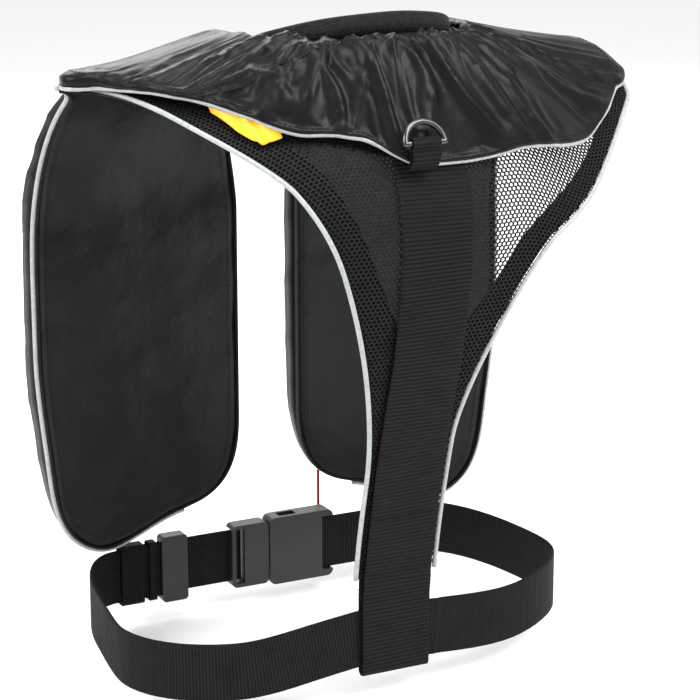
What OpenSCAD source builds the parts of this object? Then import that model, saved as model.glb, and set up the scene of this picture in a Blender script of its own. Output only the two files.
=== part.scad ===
// Inflatable life jacket in its worn shape: yoke and front lobes with the packed bladder,
// mesh back panel, back strap, waist belt with its buckle, and the inflation hardware.
// +Z is up, the wearer faces -Y, and the wearer's left is +X. The origin is at the neck.

/* [Wearer's shape] */
// Depth from the body's middle plane to the back
back_depth = 136; // [132:1:140]
// Depth from the body's middle plane to the chest
chest_depth = 108; // [106:1:110]
// Height of the shoulders beside the neck
shoulder_z = 14; // [12:1:16]
// How far the shoulders drop between the neck and the arms
shoulder_drop = 22; // [20:1:24]
// Height of the arch over each shoulder
arch_h = 115; // [112:1:118]

/* [Cover] */
// Half width of the yoke at the shoulders
yoke_half = 191; // [188:1:194]
// Way down the back from the shoulder top to the yoke's hem
yoke_hem = 140; // [137:1:144]
// How far the hem is drawn up on the wearer's left
hem_lift = 45; // [40:1:48]
// How far the yoke rises to the collar behind the neck
neck_lift = 31; // [28:1:33]
// Distance from the middle to the lobe's inner edge
lobe_in = 25; // [22:1:28]
// Distance from the middle to the lobe's outer edge
lobe_out = 178; // [175:1:182]
// Way down the chest from the shoulder top to the lobe's end
lobe_len = 403; // [399:1:404]
// Depth of a packed lobe
lobe_depth = 48; // [47:1:52]

/* [Back panel and webbing] */
// Half width of the mesh panel across the shoulder blades
panel_mid_half = 88; // [80:1:94]
// How much higher than the mean the panel flares out on the left, and lower on the right
panel_lean = 25; // [20:1:27]
// Half width of the mesh panel where it runs beside the strap
panel_low_half = 28; // [26:1:32]
// Way down the back to the panel's lower end
panel_end = 427; // [418:1:430]
// Width of the back strap
strap_w = 50; // [45:1:52]
// Width of the waist belt
belt_w = 40; // [38:1:40]
// Height of the belt's middle
belt_z = -376; // [-378:1:-375]
// Radius inside the collar
neck_r = 66; // [62:1:66]
// Height of the collar
collar_h = 46; // [44:1:48]

/* [Inflation hardware] */
// Radius of the gas cylinder
cylinder_r = 12.5; // [11:0.1:12.5]
// Length of the gas cylinder's straight wall
cylinder_len = 88; // [70:1:92]
// Angle of the manual lever above level at rest
lever_rest = 30; // [20:1:35]
// Distance from the lever's pin to its tip
lever_len = 26; // [22:1:27]

/* [Hidden] */
$fn = 48;

// Colours
nylon = [0.07, 0.065, 0.075];
web = [0.11, 0.10, 0.11];
silver = [0.69, 0.72, 0.71];
yellow = [1.0, 0.74, 0.0];
plastic = [0.05, 0.05, 0.055];

// ---- the surface that every soft part lies on ----
// A place on it is (x, t): t is the way along the body from the top of the shoulder,
// above zero down the back and below zero down the chest.
body_y = -20;
body_half = 230;
body_round = 2.4;
back_quarter = 200;
chest_quarter = 175;
chest_curve = 15;
neck_y = -5;
neck_out = neck_r + 6;
waist_from = -70;
waist_span = 300;
waist_in = 56;

function smooth(k) = let(c = max(0, min(1, k))) c * c * (3 - 2 * c);
function side(x) =
  pow(1 - pow(min(abs(x), body_half - 1) / body_half, body_round), 1 / body_round);
function depth_at(z) = back_depth - waist_in * smooth((waist_from - z) / waist_span);
function arch_z(x) = shoulder_z - shoulder_drop * smooth((abs(x) - 60) / 80) - arch_h;
function chest_at(x) = chest_depth - chest_curve * pow(x / lobe_out, 2);

function on_body(x, t) =
  let(quarter = t >= 0 ? back_quarter : chest_quarter,
      a = 90 * min(abs(t), quarter) / quarter,
      z = arch_z(x) + arch_h * cos(a) - max(0, abs(t) - quarter))
  [x, body_y + sin(a) * (t >= 0 ? depth_at(z) * side(x) : -chest_at(x)), z];

function outward(x, t) =
  let(e = 0.5,
      n = cross(on_body(x + e, t) - on_body(x - e, t), on_body(x, t + e) - on_body(x, t - e)))
  n / norm(n);

function skin(x, t, d) = on_body(x, t) + d * outward(x, t);

// ---- outlines on that surface ----
// Where the neck opening cuts the back
function neck_t(x, r = neck_out) =
  let(y = neck_y + r * sqrt(max(0, 1 - pow(x / r, 2))))
  back_quarter / 90 * asin((y - body_y) / (back_depth * side(x)));

seam_t = -12;
seam_gap = 0.4;

// Yoke: upper and lower edge
function yoke_top(x) =
  abs(x) < neck_out ? neck_t(x)
  : seam_t + seam_gap + (neck_t(neck_out) - seam_t - seam_gap)
    * (1 - smooth((abs(x) - neck_out) / (yoke_half - neck_out)));
hem_step = 18;
function yoke_low(x) =
  yoke_hem - 85 * pow(abs(x) / yoke_half, 3) - hem_step * smooth((x - 8) / 35)
  - hem_lift * smooth((x - 70) / 60);

// Lobe: inner and outer edge, and how its end rounds off
end_round = 71;
function end_k(s) =
  pow(1 - pow(max(0, s - (lobe_len - end_round + 1)) / end_round, 3), 1 / 3);
function lobe_in_at(s) = lobe_in + (neck_out + 1 - lobe_in) * (1 - smooth(s / 190));
lobe_nip = 12;
lobe_taper = 10;
function lobe_out_at(s) =
  lobe_out - lobe_nip * (1 - smooth(s / 200)) - lobe_taper * smooth((s - 250) / 130)
  + (yoke_half - lobe_out + lobe_nip) * (1 - smooth(s / 60));
function lobe_x(s, c) =
  (lobe_in_at(s) + lobe_out_at(s)) / 2
  + (2 * c - 1) * end_k(s) * (lobe_out_at(s) - lobe_in_at(s)) / 2;

// Packed lobe: height of the cover above the lining
shoulder_rise = 14;
function rise(s, c) =
  let(r = (s + seam_t) / (lobe_len + seam_t),
      across = sqrt(max(0, 1 - pow(2 * c - 1, 4))),
      down = sqrt(max(0, 1 - pow(r, 8))))
  across * down * (shoulder_rise + (lobe_depth - shoulder_rise) * smooth((r - 0.12) / 0.25));

// Mesh panel: a straight flare, easing into the strap's width
// hand is 1 on the wearer's left and -1 on the right, where the panel hangs lower
panel_top_half = 195;
function flare(hand) = 0.78 - 0.17 * hand;
function flare_t(hand) = 165 - panel_lean * hand;
function ease_t(hand) = 340 + 10 * hand;
function panel_half(t, hand) = let(from = flare_t(hand), to = ease_t(hand))
  t < from ? min(panel_top_half, panel_mid_half + flare(hand) * (from - t))
  : panel_low_half
    + (panel_mid_half - panel_low_half) * pow(max(0, to - t) / (to - from), 1.6);
panel_start = -8;
function panel_top(x) =
  abs(x) <= neck_out ? neck_t(x) + 4
  : panel_start + (neck_t(neck_out) + 4 - panel_start) * (1 - smooth((abs(x) - neck_out) / 27));
function panel_at(c, r) =
  let(hand = c < 0 ? -1 : 1, nominal = panel_start + (panel_end - panel_start) * r,
      top = panel_top(c * panel_half(panel_start, hand)))
  [c * panel_half(nominal, hand), top + (panel_end - top) * r];

// ---- solids from grids of points ----
module layer(outer, inner) {
  rows = len(outer);
  cols = len(outer[0]);
  n = rows * cols;
  rim = concat([for (j = [0:cols - 2]) j],
    [for (i = [0:rows - 2]) i * cols + cols - 1],
    [for (j = [cols - 1:-1:1]) (rows - 1) * cols + j],
    [for (i = [rows - 1:-1:1]) i * cols]);
  cells = [for (i = [0:rows - 2], j = [0:cols - 2]) i * cols + j];
  faces = concat(
    [for (a = cells) each [[a, a + cols, a + cols + 1], [a, a + cols + 1, a + 1]]],
    [for (a = cells) each [[n + a, n + a + cols + 1, n + a + cols],
      [n + a, n + a + 1, n + a + cols + 1]]],
    [for (k = [0:len(rim) - 1]) let(p = rim[k], q = rim[(k + 1) % len(rim)])
      each [[p, q, n + q], [p, n + q, n + p]]]);
  polyhedron(points = concat([for (row = outer) each row], [for (row = inner) each row]),
    faces = faces);
}

// A bead swept along places [x, t, height] on the surface
module bead(path, r, sides = 6) {
  last = len(path) - 1;
  mid = [for (p = path) skin(p[0], p[1], p[2])];
  rings = [for (i = [0:last])
    let(way = mid[min(last, i + 1)] - mid[max(0, i - 1)],
        u = outward(path[i][0], path[i][1]),
        b = cross(way, u) / norm(cross(way, u)),
        v = cross(b, way) / norm(way))
    [for (k = [0:sides - 1]) mid[i] + r * (cos(360 * k / sides) * v + sin(360 * k / sides) * b)]];
  polyhedron(points = [for (ring = rings) each ring],
    faces = concat([[for (k = [0:sides - 1]) k]],
      [for (i = [0:last - 1], k = [0:sides - 1])
        let(a = i * sides + k, b = i * sides + (k + 1) % sides)
        each [[a, a + sides, b + sides], [a, b + sides, b]]],
      [[for (k = [sides - 1:-1:0]) last * sides + k]]));
}

// A plate in X and Z with rounded corners, standing from y to y + thick
module plate(x0, x1, y, z0, z1, thick, r) {
  translate([0, y + thick, 0]) rotate([90, 0, 0]) linear_extrude(thick) {
    translate([x0 + r, z0]) square([x1 - x0 - 2 * r, z1 - z0]);
    translate([x0, z0 + r]) square([x1 - x0, z1 - z0 - 2 * r]);
    for (x = [x0 + r, x1 - r], z = [z0 + r, z1 - r]) translate([x, z]) circle(r);
  }
}

module block(x0, x1, y0, y1, z0, z1)
  translate([x0, y0, z0]) cube([x1 - x0, y1 - y0, z1 - z0]);

// A rod along Y
module rod_y(x, y0, y1, z, r)
  translate([x, y1, z]) rotate([90, 0, 0]) cylinder(r = r, h = y1 - y0);

// ---- soft parts ----
lining_low = 2;
lining_high = 3.6;
cover_thick = 2;
edge_low = 4.3;
yoke_low_d = 15;

// The yoke is drawn up to the collar behind the neck; r runs from the neck edge to the hem
function neck_rise(x, r) = neck_lift * max(0, 1 - pow(x / neck_out, 2)) * (1 - smooth(r / 0.9));

module yoke_shell() {
  cols = 26;
  rows = 8;
  function d(r) = yoke_low_d + 6 * sin(180 * r);
  function at(i, j, up) =
    let(x = yoke_half * (2 * j / cols - 1), r = i / rows,
        t = yoke_top(x) + (yoke_low(x) - yoke_top(x)) * r)
    skin(x, t, d(r) + up) + [0, 0, neck_rise(x, r)];
  layer([for (i = [0:rows]) [for (j = [0:cols]) at(i, j, cover_thick)]],
    [for (i = [0:rows]) [for (j = [0:cols]) at(i, j, 0)]]);
}

module cover_yoke() color(nylon) yoke_shell();

// One lobe's cover; hand is 1 on the wearer's left and -1 on the right
lobe_rows = 16;
lobe_cols = 8;
function lobe_s(i) = -seam_t + (lobe_len + seam_t) * i / lobe_rows;
module lobe_cover() {
  function at(i, j, up) =
    let(s = lobe_s(lobe_rows - i), c = j / lobe_cols)
    skin(lobe_x(s, c), -s, edge_low + rise(s, c) + up);
  layer([for (i = [0:lobe_rows]) [for (j = [0:lobe_cols]) at(i, j, cover_thick)]],
    [for (i = [0:lobe_rows]) [for (j = [0:lobe_cols]) at(i, j, 0)]]);
}

module cover_left() color(nylon) lobe_cover();

// The right cover has a hole for the pull lanyard
module cover_right() color(nylon) difference() {
  mirror([1, 0, 0]) lobe_cover();
  translate([pull_x, hard_y, belt_z]) cylinder(r = pull_hole_r, h = 75);
}

module lobe_lining() {
  rows = 12;
  cols = 6;
  function at(i, j, d) =
    let(s = -seam_t + (lobe_len + seam_t) * (1 - i / rows))
    skin(lobe_x(s, j / cols), -s, d);
  layer([for (i = [0:rows]) [for (j = [0:cols]) at(i, j, lining_high)]],
    [for (i = [0:rows]) [for (j = [0:cols]) at(i, j, lining_low)]]);
}

module lining_left() color(nylon) lobe_lining();
module lining_right() color(nylon) mirror([1, 0, 0]) lobe_lining();

module mesh_layer() {
  rows = 20;
  cols = 24;
  function at(i, j, d) = let(p = panel_at(2 * j / cols - 1, i / rows)) skin(p[0], p[1], d);
  layer([for (i = [0:rows]) [for (j = [0:cols]) at(i, j, 4)]],
    [for (i = [0:rows]) [for (j = [0:cols]) at(i, j, lining_low)]]);
}

module mesh_panel() color([0.10, 0.10, 0.10]) mesh_layer();

// The bladder is one horseshoe: up one lobe, behind the neck and down the other
bladder_in = 0.14;
bladder_end = lobe_len - 35;
bladder_neck = 78;
bladder_low = 8.5;
bladder_high = 13;
module bladder_ribbon() {
  lobe_steps = 14;
  turn_steps = 26;
  cols = 8;
  last = 2 * lobe_steps + turn_steps;
  // Inner and outer edge at each step, as (x, t)
  function edge(i, c) =
    i < lobe_steps
    ? let(s = bladder_end + (-seam_t - bladder_end) * i / lobe_steps) [lobe_x(s, c), -s]
    : i > lobe_steps + turn_steps ? let(p = edge(last - i, c)) [-p[0], p[1]]
    : let(a = 180 * (i - lobe_steps) / turn_steps, x = bladder_neck * cos(a))
      c < 0.5 ? [x, neck_t(x, bladder_neck)]
      : [180 * cos(a), min(6 + 118 * sin(a), yoke_low(180 * cos(a)) - 14)];
  function at(i, j, d) =
    let(k = j / cols, p = edge(i, bladder_in) * (1 - k) + edge(i, 1 - bladder_in) * k)
    skin(p[0], p[1], d);
  layer([for (j = [0:cols]) [for (i = [last:-1:0]) at(i, j, bladder_high)]],
    [for (j = [0:cols]) [for (i = [last:-1:0]) at(i, j, bladder_low)]]);
}

module bladder() color(yellow) bladder_ribbon();

// Collar: a band around the back and sides of the neck, higher at the back
collar_t = 4;
collar_span = 240;
collar_tilt = 18;
collar_foot = -23;
collar_top = collar_foot + collar_h;
module around_neck() translate([0, neck_y, 0]) rotate([collar_tilt, 0, 0])
  rotate([0, 0, 90 - collar_span / 2]) rotate_extrude(angle = collar_span, $fn = 96) children();

module collar() color([0.06, 0.06, 0.065]) around_neck()
  translate([neck_r, collar_foot]) square([collar_t, collar_h - 3]);

module collar_binding() color([0.03, 0.03, 0.03]) around_neck() {
  difference() {
    union() {
      translate([neck_r - 1.2, collar_top - 12]) square([collar_t + 2.4, 11]);
      translate([neck_r + collar_t / 2, collar_top - 1]) circle(collar_t / 2 + 1.2);
    }
    translate([neck_r - 0.1, collar_top - 13]) square([collar_t + 0.2, 10.2]);
  }
}

// Piping
pipe_r = 2;
pipe_out = 2.9;
module piping_cover() color(silver) {
  hem = [for (i = [0:48]) let(x = yoke_half * (i / 24 - 1)) [x, yoke_low(x)]];
  bead([for (i = [0:48]) let(p = side_of(hem, i, pipe_out)) [p[0], p[1], yoke_low_d + 1]], pipe_r);
}

module panel_piping(hand) {
  line = [for (i = [1:20]) let(t = panel_start + (panel_end - panel_start) * i / 20)
    [hand * panel_half(t, hand), t]];
  bead([for (i = [0:len(line) - 1]) let(p = side_of(line, i, -hand * pipe_out)) [p[0], p[1], 3]],
    pipe_r);
}
module piping_panel_left() color(silver) panel_piping(1);
module piping_panel_right() color(silver) panel_piping(-1);

module lobe_piping() {
  line = concat([for (i = [0:lobe_rows]) let(s = lobe_s(i)) [lobe_x(s, 1), -s]],
    [for (k = [0.8:-0.2:0]) [lobe_x(lobe_len, k), -lobe_len]]);
  bead([for (i = [0:len(line) - 1]) let(p = side_of(line, i, pipe_out)) [p[0], p[1], edge_low + 1]],
    pipe_r);
}
module piping_lobe_left() color(silver) lobe_piping();
module piping_lobe_right() color(silver) mirror([1, 0, 0]) lobe_piping();

// Hook-and-loop tape that closes the cover along the lobe's outer edge
module lobe_tape() {
  rows = 10;
  function at(i, c, d) =
    let(s = 60 + 270 * (1 - i / rows)) skin(lobe_x(s, c), -s, d);
  layer([for (i = [0:rows]) [at(i, 0.915, 5.5), at(i, 0.98, 5.5)]],
    [for (i = [0:rows]) [at(i, 0.915, 4.4), at(i, 0.98, 4.4)]]);
}
module closure_tape_left() color([0.04, 0.04, 0.04]) lobe_tape();
module closure_tape_right() color([0.04, 0.04, 0.04]) mirror([1, 0, 0]) lobe_tape();

// ---- webbing ----
web_t = 1.8;
belt_half = 165;
loop_depth = 5.8;
strap_d = 6.3;
loop_t = 440;
loop_y = skin(0, loop_t, strap_d)[1] - loop_depth / 2;
belt_back = loop_y - web_t / 2 - body_y;
belt_flat = 120;
belt_round = 2.3;
belt_front_y = -132;

// Outline of the belt, seen from above; g is how far outside the belt's inner face
function belt_ring(g) = concat(
  [for (i = [0:24]) let(a = 180 * i / 24)
    [(belt_half + g) * sign(cos(a)) * pow(abs(cos(a)), 2 / belt_round),
      body_y + (belt_back + g) * pow(sin(a), 2 / belt_round)]],
  [for (i = [1:9]) let(a = 180 + 10 * i)
    [-belt_flat + (belt_half - belt_flat + g) * cos(a), body_y + (body_y - belt_front_y + g) * sin(a)]],
  [for (i = [0:8]) let(a = 270 + 10 * i)
    [belt_flat + (belt_half - belt_flat + g) * cos(a), body_y + (body_y - belt_front_y + g) * sin(a)]]);

female_x = [-52, 0];
male_x = [0.5, 30];
adjuster_x = [66, 86];
buckle_y = [-144, -130];
tail_y = -138.2;
tail_end = 99;

module waist_belt() color(web) difference() {
  translate([0, 0, belt_z - belt_w / 2]) linear_extrude(belt_w) difference() {
    polygon(belt_ring(web_t));
    polygon(belt_ring(0));
  }
  block(-46, 70, -145, -120, belt_z - belt_w, belt_z + belt_w);
}

module belt_tail() color(web)
  block(21, tail_end, tail_y, tail_y + web_t, belt_z - belt_w / 2, belt_z + belt_w / 2);

// Back strap: down over the mesh, round the belt and up again
strap_top_t = 128;
loop_low = belt_z - belt_w / 2 - 4;
loop_r = loop_depth / 2;
function strap_line() = concat(
  [for (i = [0:24]) let(p = skin(0, strap_top_t + (loop_t - strap_top_t) * i / 24, strap_d))
    [p[1], p[2]]],
  [[loop_y + loop_r, -360], [loop_y + loop_r, loop_low]],
  [for (a = [-30:-30:-150]) [loop_y + loop_r * cos(a), loop_low + loop_r * sin(a)]],
  [[loop_y - loop_r, loop_low], [loop_y - loop_r, -360], [loop_y - loop_r, -324]]);
function side_of(line, i, d) =
  let(way = line[min(len(line) - 1, i + 1)] - line[max(0, i - 1)], w = way / norm(way))
  line[i] + d * [-w[1], w[0]];
module back_strap() color(web) translate([-strap_w / 2, 0, 0]) rotate([90, 0, 90])
  linear_extrude(strap_w) let(line = strap_line(), last = len(line) - 1)
  polygon(concat([for (i = [0:last]) side_of(line, i, web_t / 2)],
    [for (i = [last:-1:0]) side_of(line, i, -web_t / 2)]));

// Tab and ring behind the neck
tab_w = 20;
tab_x = 10;
tab_y = 119.8;
tab_foot = -43;
bar_y = 121;
bar_z = -29;
wire_r = 2;
bar_fit = 0.05;
ring_r = 13.5;
ring_lean = 25;
module ring_tab() color(web) translate([tab_x - tab_w / 2, 0, 0]) difference() {
  union() {
    block(0, tab_w, tab_y, tab_y + 2.4, tab_foot, bar_z - 2.4);
    translate([0, bar_y, bar_z]) rotate([0, 90, 0]) cylinder(r = 4.4, h = tab_w);
  }
  translate([-1, bar_y, bar_z]) rotate([0, 90, 0]) cylinder(r = wire_r + bar_fit, h = tab_w + 2);
}

module back_ring() color(plastic) translate([tab_x, bar_y, bar_z]) rotate([90 + ring_lean, 0, 0]) {
  rotate_extrude(angle = 180) translate([ring_r, 0]) circle(wire_r);
  translate([-ring_r, 0, 0]) rotate([0, 90, 0]) cylinder(r = wire_r, h = 2 * ring_r);
  for (s = [-1, 1]) translate([s * ring_r, 0, 0]) sphere(wire_r);
}

// Webbing tunnels under the lobes that hold the belt
module belt_tunnel() difference() {
  block(100, 118, -140.7, -129.2, belt_z - 23, belt_z + 23);
  block(99, 119, -139.3, -130.8, belt_z - 21, belt_z + 21);
}
module belt_tunnel_left() color(web) belt_tunnel();
module belt_tunnel_right() color(web) mirror([1, 0, 0]) belt_tunnel();

// Three-bar adjuster and elastic keeper
module belt_adjuster() color(plastic) difference() {
  plate(adjuster_x[0], adjuster_x[1], -140.2, belt_z - 25, belt_z + 25, 10, 3);
  block(adjuster_x[0] - 1, adjuster_x[1] + 1, -139, -135.9, belt_z - 20.5, belt_z + 20.5);
  block(adjuster_x[0] - 1, adjuster_x[1] + 1, -134.6, -131.4, belt_z - 20.5, belt_z + 20.5);
  block(adjuster_x[0] + 4, adjuster_x[1] - 4, -141, -135, belt_z - 20.5, belt_z + 20.5);
}

module belt_keeper() color(web) difference() {
  block(90, 96, -140.2, -130.2, belt_z - 22.5, belt_z + 22.5);
  block(89, 97, -139, -131.4, belt_z - 21, belt_z + 21);
}

// Side-release buckle
socket_z = 20;
module buckle_female() color(plastic) difference() {
  plate(female_x[0], female_x[1], buckle_y[0], belt_z - 26, belt_z + 26, buckle_y[1] - buckle_y[0], 5);
  block(-31, 1, -140.5, -133.5, belt_z - socket_z, belt_z + socket_z);
  for (s = [-1, 1]) block(-23, -9, -141, -133, belt_z + s * 23 - 4, belt_z + s * 23 + 4);
  block(-50, -43, -150, -125, belt_z - 21, belt_z + 21);
  block(-53, -43, -134.4, -125, belt_z - 21, belt_z + 21);
}

module buckle_male() color(plastic) {
  difference() {
    plate(male_x[0], male_x[1], buckle_y[0] + 1, belt_z - 24, belt_z + 24, 12, 4);
    block(20, 27, -150, -125, belt_z - 21, belt_z + 21);
    block(20, 31, -150, -135.9, belt_z - 21, belt_z + 21);
  }
  block(-28, male_x[0] + 1, -140.1, -133.9, belt_z - 3, belt_z + 3);
}

module buckle_prongs() color(plastic) for (s = [-1, 1]) {
  block(-26, male_x[0], -140.1, -133.9, belt_z + s * 14.5 - 2.5, belt_z + s * 14.5 + 2.5);
  block(-22, -11, -140.1, -133.9, belt_z + s * 19.5 - 3, belt_z + s * 19.5 + 3);
}

// ---- inflator, in the right lobe ----
hard_y = -154;
body_x = [-122, -80];
body_z = [-262, -222];
bottle_x = -107;
post_x = -91;
post_z = -246;
post_r = 5;
pin_x = -74;
pin_z = -240;
pin_r = 1.5;
spigot_r = 9;
cap_fit = 0.05;
neck_thread_r = 5;

module inflator_body() color([0.12, 0.12, 0.13]) difference() {
  union() {
    plate(body_x[0], body_x[1], hard_y - 12, body_z[0], body_z[1], 24, 6);
    translate([bottle_x, hard_y, body_z[1] - 1]) cylinder(r = 9, h = 5);
    translate([bottle_x, hard_y, body_z[0] - 8]) cylinder(r = spigot_r, h = 9);
    for (y = [hard_y - 6.5, hard_y + 3.5]) {
      block(body_x[1] - 2, pin_x, y, y + 3, pin_z - 5, pin_z + 5);
      rod_y(pin_x, y, y + 3, pin_z, 5);
    }
  }
  translate([bottle_x, hard_y, body_z[1] - 12]) cylinder(r = neck_thread_r + cap_fit, h = 20);
  translate([bottle_x, hard_y, body_z[0] - 9]) cylinder(r = 7.3, h = 15);
  rod_y(post_x, hard_y - 20, hard_y + 20, post_z, post_r + 0.15);
  rod_y(pin_x, hard_y - 20, hard_y + 20, pin_z, pin_r);
}

module lever_pin() color([0.75, 0.75, 0.76]) rod_y(pin_x, hard_y - 6.5, hard_y + 6.5, pin_z, pin_r);

module inflator_lever() color([0.85, 0.08, 0.05]) difference() {
  translate([pin_x, hard_y, pin_z]) rotate([0, -lever_rest, 0]) {
    rotate([90, 0, 0]) translate([0, 0, -2.8]) cylinder(r = 4.3, h = 5.6);
    translate([0, -2.8, -2.8]) cube([lever_len, 5.6, 5.6]);
    translate([lever_len, 0, 0]) rotate([90, 0, 0]) translate([0, 0, -2.8]) cylinder(r = 2.8, h = 5.6);
  }
  rod_y(pin_x, hard_y - 20, hard_y + 20, pin_z, pin_r + cap_fit);
}

pull_x = pin_x + lever_len * cos(lever_rest);
pull_top = pin_z + lever_len * sin(lever_rest) - 4.5;
toggle_z = -356;
pull_hole_r = 3.5;

module pull_lanyard() color([0.75, 0.06, 0.05])
  translate([pull_x, hard_y, toggle_z]) cylinder(r = 1.2, h = pull_top - toggle_z, $fn = 16);

module pull_toggle() color([0.85, 0.08, 0.05]) {
  plate(pull_x - 7, pull_x + 7, hard_y - 3, toggle_z - 32, toggle_z - 8, 6, 3);
  translate([pull_x, hard_y, toggle_z - 9]) cylinder(r1 = 4.5, r2 = 2.2, h = 8.8);
}

module gas_cylinder() color([0.62, 0.64, 0.66]) translate([bottle_x, hard_y, 0]) {
  base = body_z[1] + 4.4;
  translate([0, 0, body_z[1] - 11]) cylinder(r = neck_thread_r, h = 17);
  translate([0, 0, base]) cylinder(r1 = 6.5, r2 = cylinder_r, h = 9);
  translate([0, 0, base + 9]) cylinder(r = cylinder_r, h = cylinder_len);
  translate([0, 0, base + 9 + cylinder_len]) intersection() {
    sphere(cylinder_r);
    cylinder(r = cylinder_r + 1, h = cylinder_r);
  }
}

module water_cartridge() color([0.9, 0.9, 0.86])
  translate([bottle_x, hard_y, body_z[0] - 10]) cylinder(r = 7, h = 13);

module cartridge_cap() color([0.8, 0.85, 0.85])
  translate([bottle_x, hard_y, body_z[0] - 17]) difference() {
    union() {
      cylinder(r = 11.5, h = 16.6);
      for (a = [0:30:330]) rotate([0, 0, a]) translate([11.3, 0, 2])
        cylinder(r = 0.9, h = 13, $fn = 16);
    }
    translate([0, 0, 2.5]) cylinder(r = spigot_r + cap_fit, h = 20);
  }

bladder_face = -139.2;
module manifold_disc() color([0.15, 0.15, 0.15]) {
  rod_y(post_x, bladder_face - 1.2, bladder_face - 0.1, post_z, 19);
  rod_y(post_x, hard_y - 15, bladder_face - 1, post_z, post_r);
}

module manifold_gasket() color([0.02, 0.02, 0.02]) difference() {
  rod_y(post_x, bladder_face - 2.4, bladder_face - 1.3, post_z, 10);
  rod_y(post_x, bladder_face - 9, bladder_face + 9, post_z, post_r + 0.3);
}

module manifold_nut() color([0.1, 0.1, 0.1]) difference() {
  union() {
    rod_y(post_x, hard_y - 16, hard_y - 12.1, post_z, 8);
    for (a = [0:45:315]) translate([post_x, 0, post_z]) rotate([0, a, 0])
      rod_y(8, hard_y - 16, hard_y - 12.1, 0, 1.2);
  }
  rod_y(post_x, hard_y - 15.2, hard_y, post_z, post_r + 0.1);
}

// ---- oral tube, in the left lobe ----
tube_x = 104;
elbow_r = 12.6;
elbow_z = -277;
tube_top = -206;
valve_top = -180;
valve_r = 8;
poppet_r = 5;

module oral_stem() color([0.1, 0.1, 0.1]) {
  rod_y(tube_x, bladder_face - 1.6, bladder_face - 0.3, elbow_z - elbow_r, 15);
  translate([tube_x, bladder_face - 1.5, elbow_z]) rotate([90, 0, 90]) rotate([0, 0, 180])
    rotate_extrude(angle = 90) translate([elbow_r, 0]) difference() {
      circle(5.6);
      circle(4);
    }
}

tube_y = bladder_face - 1.5 - elbow_r;
module tube_z(r_out, r_in, z0, z1) translate([tube_x, tube_y, z0]) difference() {
  cylinder(r = r_out, h = z1 - z0);
  translate([0, 0, -1]) cylinder(r = r_in, h = z1 - z0 + 2);
}

module oral_tube() color([0.08, 0.08, 0.08]) tube_z(7, 4.6, elbow_z + 0.2, tube_top);

module oral_valve() color([0.85, 0.08, 0.05]) {
  tube_z(valve_r, poppet_r + 0.05, tube_top + 6, valve_top);
  tube_z(valve_r, 2.5, tube_top + 0.2, tube_top + 6);
}

module oral_poppet() color([0.9, 0.9, 0.9]) translate([tube_x, tube_y, tube_top + 11])
  cylinder(r = poppet_r, h = valve_top - tube_top - 11 + 0.8);

module oral_cap() color([0.08, 0.08, 0.08]) translate([tube_x, tube_y, valve_top - 12]) difference() {
  cylinder(r = 10, h = 17);
  translate([0, 0, -1]) cylinder(r = valve_r + 0.3, h = 16);
}

// Whistle on a clip around the oral tube
whistle_x = 62;
whistle_z = -212;
module whistle_clip() color(plastic) {
  difference() {
    union() {
      translate([tube_x, tube_y, whistle_z - 5]) cylinder(r = 9, h = 10);
      block(whistle_x + 11, tube_x - 5, tube_y - 6.5, tube_y + 6.5, whistle_z - 5, whistle_z + 5);
      for (y = [tube_y - 8.5, tube_y + 6])
        block(whistle_x - 4, whistle_x + 13, y, y + 2.5, whistle_z - 4, whistle_z + 5);
    }
    translate([tube_x, tube_y, whistle_z - 20]) cylinder(r = 7.1, h = 40);
  }
  rod_y(whistle_x, tube_y - 8, tube_y + 8, whistle_z, 1.5);
}

module whistle() color([0.95, 0.5, 0.05]) difference() {
  union() {
    rod_y(whistle_x, tube_y - 5.6, tube_y + 5.6, whistle_z, 5);
    plate(whistle_x - 8, whistle_x + 8, tube_y - 5.6, whistle_z - 46, whistle_z - 3, 11.2, 3);
  }
  rod_y(whistle_x, tube_y - 9, tube_y + 9, whistle_z, 1.55);
  block(whistle_x - 5.5, whistle_x + 5.5, tube_y - 3.6, tube_y + 3.6, whistle_z - 47, whistle_z - 9);
  block(whistle_x - 3, whistle_x + 3, tube_y - 9, tube_y, whistle_z - 26, whistle_z - 20);
}

cover_yoke();
cover_left();
cover_right();
lining_left();
lining_right();
mesh_panel();
collar();
collar_binding();
piping_cover();
piping_panel_left();
piping_panel_right();
piping_lobe_left();
piping_lobe_right();
bladder();
back_strap();
waist_belt();
belt_tail();
ring_tab();
back_ring();
belt_tunnel_left();
belt_tunnel_right();
buckle_female();
buckle_male();
buckle_prongs();
belt_adjuster();
belt_keeper();
inflator_body();
inflator_lever();
lever_pin();
pull_lanyard();
pull_toggle();
gas_cylinder();
water_cartridge();
cartridge_cap();
manifold_disc();
manifold_gasket();
manifold_nut();
oral_stem();
oral_tube();
oral_valve();
oral_poppet();
oral_cap();
whistle();
whistle_clip();
closure_tape_left();
closure_tape_right();
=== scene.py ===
"""Looks of the inflatable life jacket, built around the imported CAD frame."""
import math

import bpy
import numpy as np
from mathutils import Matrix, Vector, noise


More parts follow.
